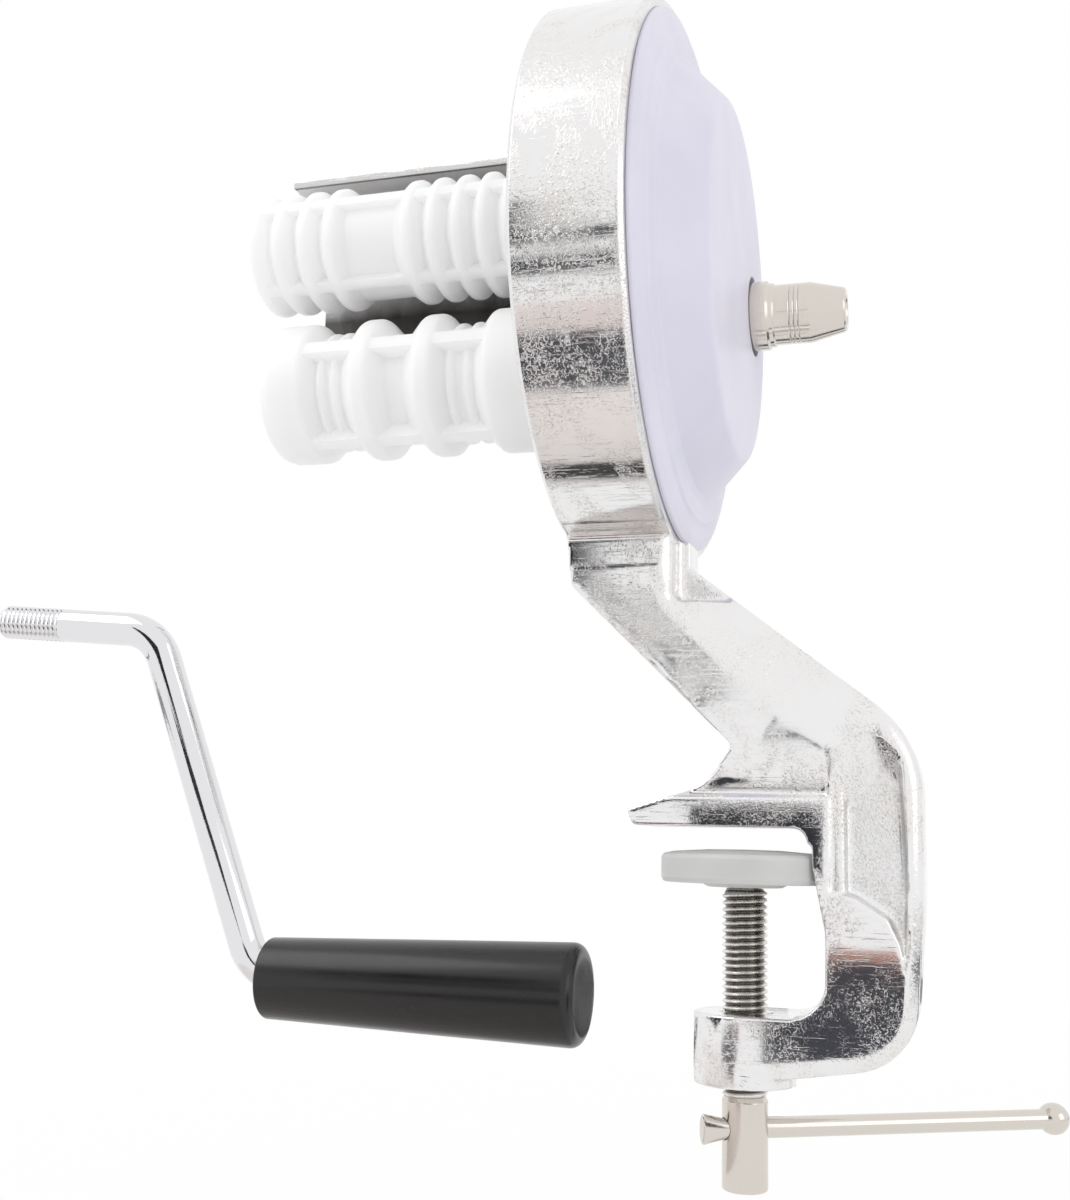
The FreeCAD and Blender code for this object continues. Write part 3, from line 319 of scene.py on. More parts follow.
def cast_aluminium():
    """Aluminium gravity casting, belt-brushed along X and then tumbled.

    Brushing leaves long fine strokes, tumbling dents and brightens them, and the sand skin stays
    as pits where the belt didn't reach. Heights are in millimetres.
    """
    material = new_material("tumbled cast aluminium")
    tree = material.node_tree
    # Strokes about 0.5 mm apart and 8 mm long, with finer ones between them
    strokes = pattern(tree, (130, 1900, 1900), 3.0, 0.62, 0.2)
    # Tumbling dents about 1 mm apart, with bare metal between them
    dents = pattern(tree, (1050, 900, 900), 2.0, 0.5, 2.2)
    dents = add(tree, RAMP, [dents, 0.53, 0.72, 0.0, 1.0])
    # Patches of about 15 mm where the skin is rougher
    patches = pattern(tree, (75, 60, 60), 3.0, 0.55, 0.6)
    rough = add(tree, RAMP, [patches, 0.44, 0.68, 0.03, 0.8])
    pitted = add(tree, MATHS, [dents, rough], operation="MULTIPLY")
    skin = sand_skin(tree)
    # Sand grains of 0.5 mm in the skin
    grains = pattern(tree, (1900, 1900, 1900), 2.0, 0.6, 0.6)
    grains = add(tree, RAMP, [grains, 0.5, 0.75, 0.0, 0.06])
    grains = add(tree, MATHS, [grains, skin], operation="MULTIPLY")
    pits = add(tree, MATHS, [pitted, 0.085], operation="MULTIPLY")
    pits = add(tree, MATHS, [pits, grains], operation="ADD")
    scored = add(tree, RAMP, [strokes, 0.58, 0.8, 0.0, 0.02])
    height = add(tree, MATHS, [scored, pits], operation="ADD")
    # The belt polishes the open faces, and least where the skin is rough
    polish = add(tree, MATHS, [strokes, rough], operation="ADD")
    polish = add(tree, RAMP, [polish, 0.4, 1.7, 0.09, 0.22])
    dull_skin = add(tree, MATHS, [skin, 0.22], operation="MULTIPLY")
    # Painted shade on the forming plate, and where its inside is rough
    painted_shade, dull_plate = plate_shade_and_roughness(tree)
    roughness = add(tree, MATHS, [polish, dull_skin], operation="MAXIMUM")
    roughness = add(tree, MATHS, [roughness, dull_plate], operation="MAXIMUM")
    # The metal is a little warmer in some patches, darker with painted shade on the forming plate, and grey with
    # oxide in its pits
    tones = (
        (add(tree, RAMP, [patches, 0.3, 0.7, 0.0, 1.0]), "#ECE9E7"),
        # painted shade on the forming plate
        (painted_shade, "#5C5A58"),
        (add(tree, MATHS, [pitted, 0.4], operation="MULTIPLY"), "#77787C"),
    )
    colour = linear(settings().metal.cast)
    for factor, tone in tones:
        mix = add(tree, MIX, {"Factor": factor, FIRST: colour, SECOND: linear(tone)}, data_type="RGBA")
        colour = mix.outputs[MIXED]
    return surface(material, {
        "Base Color": colour,
        "Metallic": 1.0,
        "Roughness": roughness,
        "Normal": add(tree, "ShaderNodeBump", {"Height": height, "Distance": 1.0 * MM, "Strength": 1.0}),
    })


def plated(name, colour, roughness, lines):
    """Plated steel: mirror-like, with faint turning or polishing lines a fraction of a millimetre apart."""
    material = new_material(name)
    tree = material.node_tree
    # The real lines are finer, and drawn this far apart so that they show
    marks = pattern(tree, lines, 3.0, 0.6)
    return surface(material, {
        "Base Color": linear(colour),
        "Metallic": 1.0,
        "Roughness": add(tree, RAMP, [marks, 0.3, 0.7, roughness * 0.7, roughness * 1.4]),
        "Normal": add(tree, "ShaderNodeBump", {"Height": marks, "Distance": 0.01 * MM, "Strength": 0.5}),
    })


def plain_steel(name, colour, roughness):
    """Bright drawn or rolled metal with a film of oil: darker, with fine uneven grain."""
    material = new_material(name)
    tree = material.node_tree
    # Grain of 0.7 mm, coarser than the real one so that it shows
    grain = pattern(tree, (1500, 1500, 1500), 3.0, 0.6)
    tint = {"Factor": grain, FIRST: linear(colour), SECOND: linear("#8A8784")}
    return surface(material, {
        "Base Color": add(tree, MIX, tint, data_type="RGBA").outputs[MIXED],
        "Metallic": 1.0,
        "Roughness": add(tree, RAMP, [grain, 0.3, 0.7, roughness * 0.8, roughness * 1.3]),
        "Normal": add(tree, "ShaderNodeBump", {"Height": grain, "Distance": 0.01 * MM, "Strength": 0.5}),
    })


def rolled_thread():
    """Rolled steel thread with painted shade: darker towards the roots of its grooves, bright on its crests."""
    material = new_material("rolled steel thread")
    tree = material.node_tree
    flat = add(tree, "ShaderNodeCombineXYZ", object_axes(tree)[:2])
    radius = add(tree, "ShaderNodeVectorMath", [flat], operation="LENGTH").outputs["Value"]
    # Painted shade between the grooves' lower walls and the crests at 5 mm
    crest = add(tree, RAMP, [radius, 4.25 * MM, 4.85 * MM, 0.0, 1.0])
    # Painted shade: dark towards the roots, bright on the crests
    tint = {"Factor": crest, FIRST: linear("#7C7975"), SECOND: linear("#EFECE8")}
    # Grain of 0.7 mm, coarser than the real one so that it shows
    grain = pattern(tree, (1500, 1500, 1500), 3.0, 0.6)
    return surface(material, {
        "Base Color": add(tree, MIX, tint, data_type="RGBA").outputs[MIXED],
        "Metallic": 1.0,
        "Roughness": add(tree, RAMP, [grain, 0.3, 0.7, 0.2, 0.34]),
        "Normal": add(tree, "ShaderNodeBump", {"Height": grain, "Distance": 0.01 * MM, "Strength": 0.5}),
    })


def moulded(name, colour, shade, roughness, glow, depth, texture):
    """Injection-moulded plastic: even colour, a soft inner glow and the mould's fine texture."""
    material = new_material(name)
    tree = material.node_tree
    # Flow clouds of about 20 mm
    cloud = add(tree, RAMP, [pattern(tree, (45, 45, 45), 2.0, 0.5), 0.3, 0.7, 0.0, 1.0])
    tint = {"Factor": cloud, FIRST: linear(colour), SECOND: linear(shade)}
    # The mould's texture at 0.7 mm, coarser than the real one so that it shows
    grain = pattern(tree, (1400, 1400, 1400), 2.0, 0.5)
    return surface(material, {
        "Base Color": add(tree, MIX, tint, data_type="RGBA").outputs[MIXED],
        "Roughness": add(tree, RAMP, [grain, 0.2, 0.8, roughness * 0.85, roughness * 1.15]),
        "IOR": 1.49,
        "Normal": add(tree, "ShaderNodeBump", {"Height": grain, "Distance": texture, "Strength": 0.6}),
        "Subsurface Weight": glow,
        "Subsurface Radius": (depth, depth, depth),
        "Subsurface Scale": 1.0,
    })


def black_grip():
    """Glossy black ABS from a polished mould, with fine handling scratches along and across."""
    material = new_material("polished black ABS")
    tree = material.node_tree
    # Scratches up to 17 mm long and 0.4 mm apart, and smears of about 10 mm
    scratches = pattern(tree, (60, 2600, 2600), 4.0, 0.7, 0.8)
    smears = pattern(tree, (90, 90, 90), 3.0, 0.6)
    deep = add(tree, RAMP, [scratches, 0.6, 0.75, 0.0, 1.0])
    handled = add(tree, RAMP, [smears, 0.4, 0.6, 0.0, 1.0])
    worn = add(tree, MATHS, [deep, handled], operation="MULTIPLY")
    worn = add(tree, MATHS, [worn, smears], operation="ADD")
    return surface(material, {
        "Base Color": linear(settings().plastic.grip),
        "Roughness": add(tree, RAMP, [worn, 0.3, 1.5, 0.2, 0.46]),
        "IOR": 1.54,
        "Normal": add(
            tree, "ShaderNodeBump", {"Height": scratches, "Distance": 0.01 * MM, "Strength": 0.4}
        ),
    })


def make_materials():
    """All finishes, by the name of the record's material slot."""
    metal = settings().metal
    plastic = settings().plastic
    fine = 0.01 * MM
    return {
        "cast_aluminium": cast_aluminium(),
        "nickel_steel": plated("nickel-plated steel", metal.nickel, 0.16, (2600, 120, 120)),
        "chromed_steel": plated("chrome-plated steel", metal.chrome, 0.07, (120, 120, 1200)),
        "thread_steel": rolled_thread(),
        "bare_steel": plain_steel("bright drawn steel", metal.steel, 0.32),
        "bronze": plain_steel("sintered bronze", metal.bronze, 0.4),
        "cover_plastic": moulded(
            "lavender polypropylene", plastic.cover, "#D6D4E3", 0.38, 0.25, 1.5 * MM, fine
        ),
        "roller_plastic": moulded("white polypropylene", plastic.roller, "#F4F4F4", 0.4, 1.0, 6 * MM, fine),
        "pad_plastic": moulded("milky polyethylene", plastic.pad, "#C4C4C2", 0.42, 0.5, 3 * MM, 1.5 * fine),
        "gear_plastic": moulded("natural nylon", plastic.gear, "#DDD8CA", 0.45, 0.3, 2 * MM, fine),
        "grip_plastic": black_grip(),
    }


MATERIALS = {}


def finish_of(slot):
    """The finish for a material slot, made on first use."""
    if not MATERIALS:
        MATERIALS.update(make_materials())
    return MATERIALS[slot]


# Meshes
def new_object(name, data):
    """A new object in the scene, at the origin."""
    piece = bpy.data.objects.new(name, data)
    bpy.context.scene.collection.objects.link(piece)
    return piece


def mesh_piece(name, points, faces):
    """A new object at the origin from points and faces, with its faces turned outwards."""
    mesh = bpy.data.meshes.new(name)
    mesh.from_pydata([tuple(point) for point in points], [], faces)
    work = bmesh.new()
    work.from_mesh(mesh)
    bmesh.ops.remove_doubles(work, verts=work.verts, dist=1e-7)
    bmesh.ops.recalc_face_normals(work, faces=work.faces)
    work.to_mesh(mesh)
    work.free()
    return new_object(name, mesh)


def smooth_shade(piece, angle=32):
    """Smooth shading that keeps edges sharper than the angle."""
    piece.data.shade_smooth()
    piece.data.set_sharp_from_angle(angle=math.radians(angle))


def rounded(stations, steps=5):
    """A profile with its corners rounded; stations are (distance, radius, corner radius) in mm."""
    result = []
    for index, (along, out, corner) in enumerate(stations):
        here = Vector((along, out))
        if corner <= 0 or index in (0, len(stations) - 1):
            result.append(here)
            continue
        back = (Vector(stations[index - 1][:2]) - here).normalized()
        ahead = (Vector(stations[index + 1][:2]) - here).normalized()
        half = back.angle(ahead) / 2
        run = corner / math.tan(half)
        bisector = (back + ahead).normalized()
        centre = here + bisector * (corner / math.sin(half))
        start = here + back * run - centre
        end = here + ahead * run - centre
        turn = start.angle_signed(end)
        for step in range(steps + 1):
            spoke = start.copy()
            spoke.rotate(Matrix.Rotation(-turn * step / steps, 2))
            result.append(centre + spoke)
    return result


def lathe(name, profile, origin, direction=AXIS_X, steps=128, closed=False):
    """A turned piece: a profile of (distance, radius) in mm about a line through origin."""
    axis = direction.normalized()
    side = axis.orthogonal().normalized()
    other = axis.cross(side)
    points = []
    rows = []
    for along, out in profile:
        centre = origin + axis * along * MM
        if out < 1e-6:
            rows.append([len(points)] * steps)
            points.append(centre)
            continue
        rows.append(list(range(len(points), len(points) + steps)))
        for step in range(steps):
            angle = 2 * math.pi * step / steps
            points.append(centre + (side * math.cos(angle) + other * math.sin(angle)) * out * MM)
    if closed:
        rows.append(rows[0])
    faces = []
    for lower, upper in zip(rows, rows[1:]):
        for step in range(steps):
            after = (step + 1) % steps
            corners = [lower[step], lower[after], upper[after], upper[step]]
            unique = list(dict.fromkeys(corners))
            if len(unique) > 2:
                faces.append(unique)
    piece = mesh_piece(name, points, faces)
    smooth_shade(piece)
    return piece


def pin(name, start, end, radius, origin, direction=AXIS_X, steps=96):
    """A plain round bar in mm along a line through origin."""
    return lathe(name, [(start, 0), (start, radius), (end, radius), (end, 0)], origin, direction, steps)


def dress(piece, slot, body, *replaced):
    """Gives a piece its finish, its body and the CAD nodes it stands for."""
    piece.data.materials.clear()
    piece.data.materials.append(finish_of(slot))
    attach(piece, body)
    if replaced:
        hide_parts(*replaced)


def apply_modifiers(piece):
    """Bakes a piece's modifiers into its mesh."""
    graph = bpy.context.evaluated_depsgraph_get()
    mesh = bpy.data.meshes.new_from_object(piece.evaluated_get(graph))
    piece.modifiers.clear()
    piece.data = mesh


def cut_away(piece, tool):
    """Removes the tool's volume from a piece, and then the tool."""
    cut = piece.modifiers.new("cut", "BOOLEAN")
    cut.operation = "DIFFERENCE"
    cut.solver = "EXACT"
    cut.object = tool
    apply_modifiers(piece)
    bpy.data.objects.remove(tool)


def join(pieces):
    """Joins pieces into the first one."""
    bpy.ops.object.select_all(action="DESELECT")
    for piece in pieces:
        piece.select_set(True)
    bpy.context.view_layer.objects.active = pieces[0]
    bpy.ops.object.join()
    return pieces[0]


# Casting
SPLIT_HEIGHT = 66.0         # in mm; above it lies the drum, below it the neck, arm and clamp
SPLIT_OVERLAP = 8.0         # the arm is smoothed with this much of the drum on it
SCREW_BORE = 5.2
SOFT_LINES = (
    # the arm's crease, in mm as (x, z)
    ((-15.4, 49.2), (9.5, 26.3)),
    ((9.5, 26.3), (24.0, 13.0)),
)
SOFT_REACH = 5.0            # in mm to each side of them
FOOT_X = (-12, 10)          # where the arm's sides are eased into the clamp's, in mm
FOOT_Z = (8, 26.5)
FOOT_FADE = 10.0            # mm over which that begins
FOOT_NARROWEST = 10.2       # half widths in mm: only what lies further out is moved
FOOT_WIDTH = 11.8           # at x 0 and z 26
FOOT_RISE = 0.075           # what it gains with each mm of height
FOOT_TAPER = 0.067          # and loses with each mm to the right


def slice_of(mesh, height, keep_above):
    """The part of a closed mesh above or below a height in mm, closed by a flat face."""
    work = bmesh.new()
    work.from_mesh(mesh)
    bmesh.ops.remove_doubles(work, verts=work.verts, dist=1e-6)
    geometry = work.verts[:] + work.edges[:] + work.faces[:]
    cut = bmesh.ops.bisect_plane(
        work, geom=geometry, dist=1e-7, plane_co=(0, 0, height * MM), plane_no=(0, 0, 1),
        clear_inner=keep_above, clear_outer=not keep_above,
    )
    rim = [item for item in cut["geom_cut"] if isinstance(item, bmesh.types.BMEdge)]
    bmesh.ops.triangle_fill(work, edges=rim, use_beauty=True, use_dissolve=False)
    bmesh.ops.recalc_face_normals(work, faces=work.faces)
    part = bpy.data.meshes.new("slice")
    work.to_mesh(part)
    work.free()
    return part


def drum_part(mesh):
    """The drum and its forming plate with finely rounded edges."""
    part = slice_of(mesh, SPLIT_HEIGHT, True)
    work = bmesh.new()
    work.from_mesh(part)
    bmesh.ops.dissolve_limit(work, angle_limit=math.radians(1.0), verts=work.verts, edges=work.edges)
    work.to_mesh(part)
    work.free()
    piece = new_object("casting", part)
    edge = piece.modifiers.new("edge", "BEVEL")
    edge.width = settings().metal.edge
    edge.segments = 3
    edge.limit_method = "ANGLE"
    edge.angle_limit = math.radians(35)
    weight = piece.modifiers.new("weight", "WEIGHTED_NORMAL")
    weight.keep_sharp = True
    apply_modifiers(piece)
    return piece


def nearness(place):
    """How near a point of the front side is to a soft line: one on it, zero beyond its reach."""
    if place.y > 0:
        return 0.0
    here = Vector((place.x, place.z)) / MM
    nearest = SOFT_REACH
    for start, end in SOFT_LINES:
        start = Vector(start)
        run = Vector(end) - start
        share = min(max((here - start).dot(run) / run.length_squared, 0.0), 1.0)
        nearest = min(nearest, (here - start - run * share).length)
    return 1.0 - nearest / SOFT_REACH


def ease_steps(mesh):
    """Lets the arm's side faces run into the clamp's without a step, on the plane of the arm's foot."""
    for vertex in mesh.vertices:
        x, y, z = vertex.co / MM
        side = abs(y)
        flat = FOOT_WIDTH + FOOT_RISE * (z - 26.0) - FOOT_TAPER * x
        here = FOOT_X[0] < x < FOOT_X[1] and FOOT_Z[0] < z < FOOT_Z[1]
        if here and FOOT_NARROWEST < side < flat:
            share = min((z - FOOT_Z[0]) / FOOT_FADE, 1.0)
            vertex.co.y = math.copysign(side + (flat - side) * share, y) * MM


def arm_part(mesh):
    """The neck, arm and clamp, with the soft creases and edges of a casting."""
    metal = settings().metal
    piece = new_object("arm", slice_of(mesh, SPLIT_HEIGHT + SPLIT_OVERLAP, False))
    grain = piece.modifiers.new("grain", "REMESH")
    grain.mode = "VOXEL"
    grain.voxel_size = metal.grain
    apply_modifiers(piece)
    ease_steps(piece.data)
    crease = piece.vertex_groups.new(name="crease")
    for vertex in piece.data.vertices:
        weight = nearness(vertex.co)
        if weight > 0:
            crease.add([vertex.index], weight, "REPLACE")
    for name, rounds, group in (("soft", metal.softness, ""), ("crease", metal.crease, "crease")):
        soft = piece.modifiers.new(name, "SMOOTH")
        soft.factor = 0.5
        soft.iterations = rounds
        soft.vertex_group = group
    apply_modifiers(piece)
    piece.vertex_groups.clear()
    piece.data = slice_of(piece.data, SPLIT_HEIGHT, False)
    cut_away(piece, pin("bore", -60, -30, SCREW_BORE, ORIGIN, AXIS_Z))
    return piece


class CAVATELLI_OT_casting(bpy.types.Operator):
    """Softens the casting's edges and gives it its tumbled finish"""
    bl_idname = "cavatelli.casting"
    bl_label = "Casting"

    def execute(self, context):
        mesh = NODES["frame_casting"].data
        drum = drum_part(mesh)
        arm = arm_part(mesh)
        smooth_shade(drum, 30)
        smooth_shade(arm, 60)
        dress(join([drum, arm]), "cast_aluminium", "root", "frame_casting")
        return {"FINISHED"}


# Cover
SHAFT_HOLE = 10.0           # radius in mm


class CAVATELLI_OT_cover(bpy.types.Operator):
    """Makes the moulded gear cover"""
    bl_idname = "cavatelli.cover"
    bl_label = "Gear cover"

    def execute(self, context):
        outside = [
            (20.4, 62.3, 0), (24.4, 62.3, 0), (24.4, 63.5, 0.3), (25.4, 63.5, 0.8), (26.3, 61.0, 1.5),
            (26.9, 57.8, 0.6), (27.5, 56.9, 0.5), (27.7, 52.8, 1.2), (28.4, 51.4, 1.0), (37.4, 42.0, 3.5),
            (37.6, 36.0, 0), (37.6, 0, 0),
        ]
        inside = [
            (35.6, 0, 0), (35.6, 39.4, 2.0), (25.8, 51.4, 1.0), (24.8, 60.3, 0.5), (20.4, 60.3, 0),
        ]
        profile = rounded(outside) + rounded(inside)
        cover = lathe("moulded_cover", profile, at_depth(DRUM_CENTRE), steps=192, closed=True)
        cut_away(cover, pin("hole", 20, 45, SHAFT_HOLE, at_depth(SHAFT_CENTRE)))
        smooth_shade(cover)
        dress(cover, "cover_plastic", "root", "gear_cover")
        return {"FINISHED"}


# Rollers
ROW_SPACING = 0.35          # mm between a roller's rows of points
ROUND_STEPS = 300
BLADES = 4
BLADE_EDGE = 0.3            # mm of rounding to each side of a blade's corner
BLADE_FOOT = 5.0            # mm that a blade's flanks reach inwards
BLADE_BLEND = 0.25          # mm over which a blade runs into the rings
ROLLER_START = -1.3         # where both rollers begin, in mm from the drum's back


def smooth_max(first, second, width):
    """The larger of two values, with a soft change from one to the other."""
    gap = max(width - abs(first - second), 0.0) / width
    return max(first, second) + gap * gap * width / 4


def profile_radius(profile, along):
    """The radius of a profile of (distance, radius) at a distance."""
    for (start, low), (end, high) in zip(profile, profile[1:]):
        if start <= along <= end and end > start:
            return low + (high - low) * (along - start) / (end - start)
    return profile[-1][1]


def bladed_roller(name, centre, profile, blade, ends):
    """A roller whose surface is the outer one of a turned profile and its straight blades.

    The blade is given by its radius and width in mm and the first one's angle from +Y to +Z, and
    the blades stop at the distance ends from the roller's ends.
    """
    blade_radius, blade_width, blade_angle = blade
    origin = at_depth(centre)
    start = profile[0][0]
    end = profile[-1][0]
    count = int((end - start) / ROW_SPACING)
    pitch = 2 * math.pi / BLADES
    points = [origin + AXIS_X * start * MM]
    for row in range(count + 1):
        along = start + (end - start) * row / count
        turned = profile_radius(profile, along)
        inset = min(along - start, end - along)
        for step in range(ROUND_STEPS):
            angle = 2 * math.pi * step / ROUND_STEPS
            local = (angle - math.radians(blade_angle)) % pitch
            local = min(local, pitch - local)
            side = abs(math.sin(local)) * blade_radius
            fade = min(max((blade_width / 2 + BLADE_EDGE - side) / (2 * BLADE_EDGE), 0.0), 1.0)
            fade = fade * fade * (3 - 2 * fade)
            out = turned
            if inset > ends:
                out = smooth_max(turned, (blade_radius - BLADE_FOOT) + BLADE_FOOT * fade, BLADE_BLEND)
            spoke = Vector((0, math.cos(angle), math.sin(angle)))
            points.append(origin + AXIS_X * along * MM + spoke * out * MM)
    points.append(origin + AXIS_X * end * MM)
    last = 1 + count * ROUND_STEPS
    faces = []
    for step in range(ROUND_STEPS):
        after = (step + 1) % ROUND_STEPS
        faces.append((0, 1 + after, 1 + step))
        faces.append((len(points) - 1, last + step, last + after))
        for row in range(count):
            base = 1 + row * ROUND_STEPS
            above = base + ROUND_STEPS
            faces.append((base + step, base + after, above + after, above + step))
    piece = mesh_piece(name, points, faces)
    smooth_shade(piece, 50)
    return piece


def teeth(first, pitch, count):
    """Rounded ring teeth from the first one's middle on, with a valley after each and a lane at the end."""
    stations = []
    for index in range(count):
        crest = first + index * pitch
        valley = 13.3 if index == count - 1 else 12.6
        stations.append((crest - 0.16 * pitch, 15.65, 1.4))
        stations.append((crest + 0.16 * pitch, 15.65, 1.4))
        stations.append((crest + 0.5 * pitch, valley, 0.5))
    return stations


def upper_profile():
    """Two groups of rounded teeth with a plain lane between them, in mm from the drum."""
    stations = [(-87.4, 14.6, 0), (-86.6, 15.6, 0.6)]
    # The first tooth's left shoulder is the roller's rounded end
    stations += teeth(-86.2, 7.1, 4)[1:]
    stations.append((-47.9, 13.3, 0.8))
    stations += teeth(-43.7, 6.6, 6)
    stations.append((ROLLER_START, 13.3, 0))
    return rounded(stations, 4)


def ridge(crest):
    """A narrow ring that stands 1.1 mm proud of the roller."""
    left = [(crest - 1.2, 14.0, 0.4), (crest - 0.5, 15.1, 0.5)]
    right = [(crest + 0.5, 15.1, 0.5), (crest + 1.2, 14.0, 0.4)]
    return left + right


def lower_profile():
    """Flanges that close the nip, with narrow ridges and a plain lane between them."""
    stations = [(-82.0, 15.0, 0), (-80.8, 17.0, 1.2)]
    stations += [(-78.6, 17.9, 2.0), (-70.0, 17.9, 2.2), (-66.8, 14.0, 0.6)]
    stations += ridge(-65.3) + ridge(-61.7)
    stations += [(-60.0, 13.7, 0.6), (-56.0, 17.9, 2.0), (-52.0, 17.9, 2.0), (-48.3, 13.6, 1.0)]
    stations += [(-43.8, 13.6, 1.0), (-39.5, 17.9, 2.0), (-35.3, 17.9, 2.0), (-32.5, 14.0, 0.6)]
    stations += ridge(-30.9) + ridge(-26.5)
    stations += [(-25.1, 14.0, 0.4), (-21.4, 17.9, 2.0), (-4.0, 17.9, 1.0), (ROLLER_START, 16.0, 0)]
    return rounded(stations, 4)


class CAVATELLI_OT_rollers(bpy.types.Operator):
    """Makes the two forming rollers with their teeth, flanges and blades"""
    bl_idname = "cavatelli.rollers"
    bl_label = "Rollers"

    def execute(self, context):
        upper = bladed_roller("upper_forming_roller", UPPER_CENTRE, upper_profile(), (15.3, 3.8, 60.0), 1.0)
        dress(upper, "roller_plastic", "upper_roller", "upper_roller")
        lower = bladed_roller("lower_forming_roller", LOWER_CENTRE, lower_profile(), (17.4, 4.4, 66.0), 2.6)
        dress(lower, "roller_plastic", "lower_roller", "lower_roller")
        return {"FINISHED"}


# Drive shaft
class CAVATELLI_OT_shaft(bpy.types.Operator):
    """Makes the turned drive shaft with its grooves and socket"""
    bl_idname = "cavatelli.shaft"
    bl_label = "Drive shaft"

    def execute(self, context):
        stations = [
            (1.8, 0, 0), (1.8, 4, 0.3), (17, 4, 0), (17, 5, 0), (23, 5, 0), (23, 6.5, 0), (24, 6.5, 0),
            (24, 8.65, 0.3), (32.3, 8.65, 0), (32.3, 11.2, 0.2), (34.3, 11.2, 0.2), (34.3, 8.65, 0),
            (41.4, 8.65, 0.25), (42.0, 8.0, 0.1), (42.9, 7.95, 0.1), (43.3, 7.5, 0.2),
            (46.9, 7.5, 0), (47.1, 7.36, 0), (47.3, 7.5, 0), (48.0, 7.5, 0), (48.2, 7.36, 0), (48.4, 7.5, 0),
            (49.1, 7.5, 0), (49.3, 7.36, 0), (49.5, 7.5, 0), (52.0, 7.5, 1.5), (60.2, 5.5, 0.3), (60.7, 5.0, 0),
            (60.7, 3.9, 0.1), (60.1, 3.4, 0), (44.7, 3.4, 0), (43.7, 0, 0),
        ]
        shaft = lathe("turned_shaft", rounded(stations, 4), at_depth(SHAFT_CENTRE), steps=128)
        dress(shaft, "nickel_steel", "drive_shaft", "drive_shaft")
        return {"FINISHED"}


# Clamp screw, pad and cross bar
CREST_SHARE = 0.12          # share of half a pitch that stays as the thread's flat crest
ROOT_SHARE = 0.9            # where its groove is fully deep
RUN_OUT = 1.2 * MM          # the thread fades over this at each end
ROWS_PER_TURN = 14
CHAMFER = 0.7               # in mm, at a threaded bar's end
SCREW_RADIUS = 5 * MM
SCREW_LOW = -57.5 * MM
SCREW_HIGH = -13.5 * MM
BAR_CENTRE = Vector((0, 0, -64 * MM))
BAR_HOLE = 2.35             # radii in mm
BAR_RADIUS = 2.2
BALL_RADIUS = 3.55
BALL_PLACE = 76.5           # the ball's middle, in mm along the bar
BALL_SWEEP = 142            # degrees of the ball that stand free of the bar
BALL_STEPS = 24
FLAT_PLACE = -5.2           # the bar's other end is pressed flat from here on
FLAT_RUN = 0.6              # over this many mm
FLAT_THINNER = 0.32         # share of its width that the flat end loses
FLAT_TALLER = 0.45          # share of its height that it gains


def thread_tree():
    """Geometry nodes that press a thread into a bar along Z, between two heights."""
    tree = bpy.data.node_groups.new("thread", "GeometryNodeTree")
    face = tree.interface
    face.new_socket("Geometry", in_out="INPUT", socket_type="NodeSocketGeometry")
    for name in ("Pitch", "Depth", "Low", "High"):
        face.new_socket(name, in_out="INPUT", socket_type="NodeSocketFloat")
    face.new_socket("Material", in_out="INPUT", socket_type="NodeSocketMaterial")
    face.new_socket("Geometry", in_out="OUTPUT", socket_type="NodeSocketGeometry")
    inputs = add(tree, "NodeGroupInput").outputs
    x, y, z = add(tree, "ShaderNodeSeparateXYZ", [add(tree, "GeometryNodeInputPosition")]).outputs
    # The groove's phase rises with the height and falls with the turn round the bar
    turn = add(tree, MATHS, [y, x], operation="ARCTAN2")
    turn = add(tree, MATHS, [turn, 2 * math.pi], operation="DIVIDE")
    phase = add(tree, MATHS, [z, inputs["Pitch"]], operation="DIVIDE")
    phase = add(tree, MATHS, [phase, turn], operation="SUBTRACT")
    wave = add(tree, MATHS, [phase], operation="FRACT")
    wave = add(tree, MATHS, [wave, 0.5], operation="SUBTRACT")
    wave = add(tree, MATHS, [wave], operation="ABSOLUTE")
    wave = add(tree, MATHS, [wave, 2.0], operation="MULTIPLY")
    depth = add(tree, RAMP, [wave, CREST_SHARE, ROOT_SHARE, 0.0, 1.0])
    for above, below in ((z, inputs["Low"]), (inputs["High"], z)):
        inset = add(tree, MATHS, [above, below], operation="SUBTRACT")
        share = add(tree, RAMP, [inset, 0.0, RUN_OUT, 0.0, 1.0])
        depth = add(tree, MATHS, [depth, share], operation="MULTIPLY")
    depth = add(tree, MATHS, [depth, inputs["Depth"]], operation="MULTIPLY")
    inwards = add(tree, MATHS, [depth, -1.0], operation="MULTIPLY")
    flat = add(tree, "ShaderNodeCombineXYZ", [x, y])
    spoke = add(tree, "ShaderNodeVectorMath", [flat], operation="NORMALIZE")
    offset = add(tree, "ShaderNodeVectorMath", {0: spoke, "Scale": inwards}, operation="SCALE")
    moved = add(tree, "GeometryNodeSetPosition", {"Geometry": inputs["Geometry"], "Offset": offset})
    real = add(tree, "GeometryNodeRealizeInstances", {"Geometry": moved})
    painted = add(tree, "GeometryNodeSetMaterial", {"Geometry": real, "Material": inputs["Material"]})
    add(tree, "NodeGroupOutput", {"Geometry": painted})
    return tree


def set_input(modifier, name, value):
    """Sets a modifier's input by its socket's identifier."""
    for item in modifier.node_group.interface.items_tree:
        if item.item_type == "SOCKET" and item.in_out == "INPUT" and item.name == name:
            modifier[item.identifier] = value


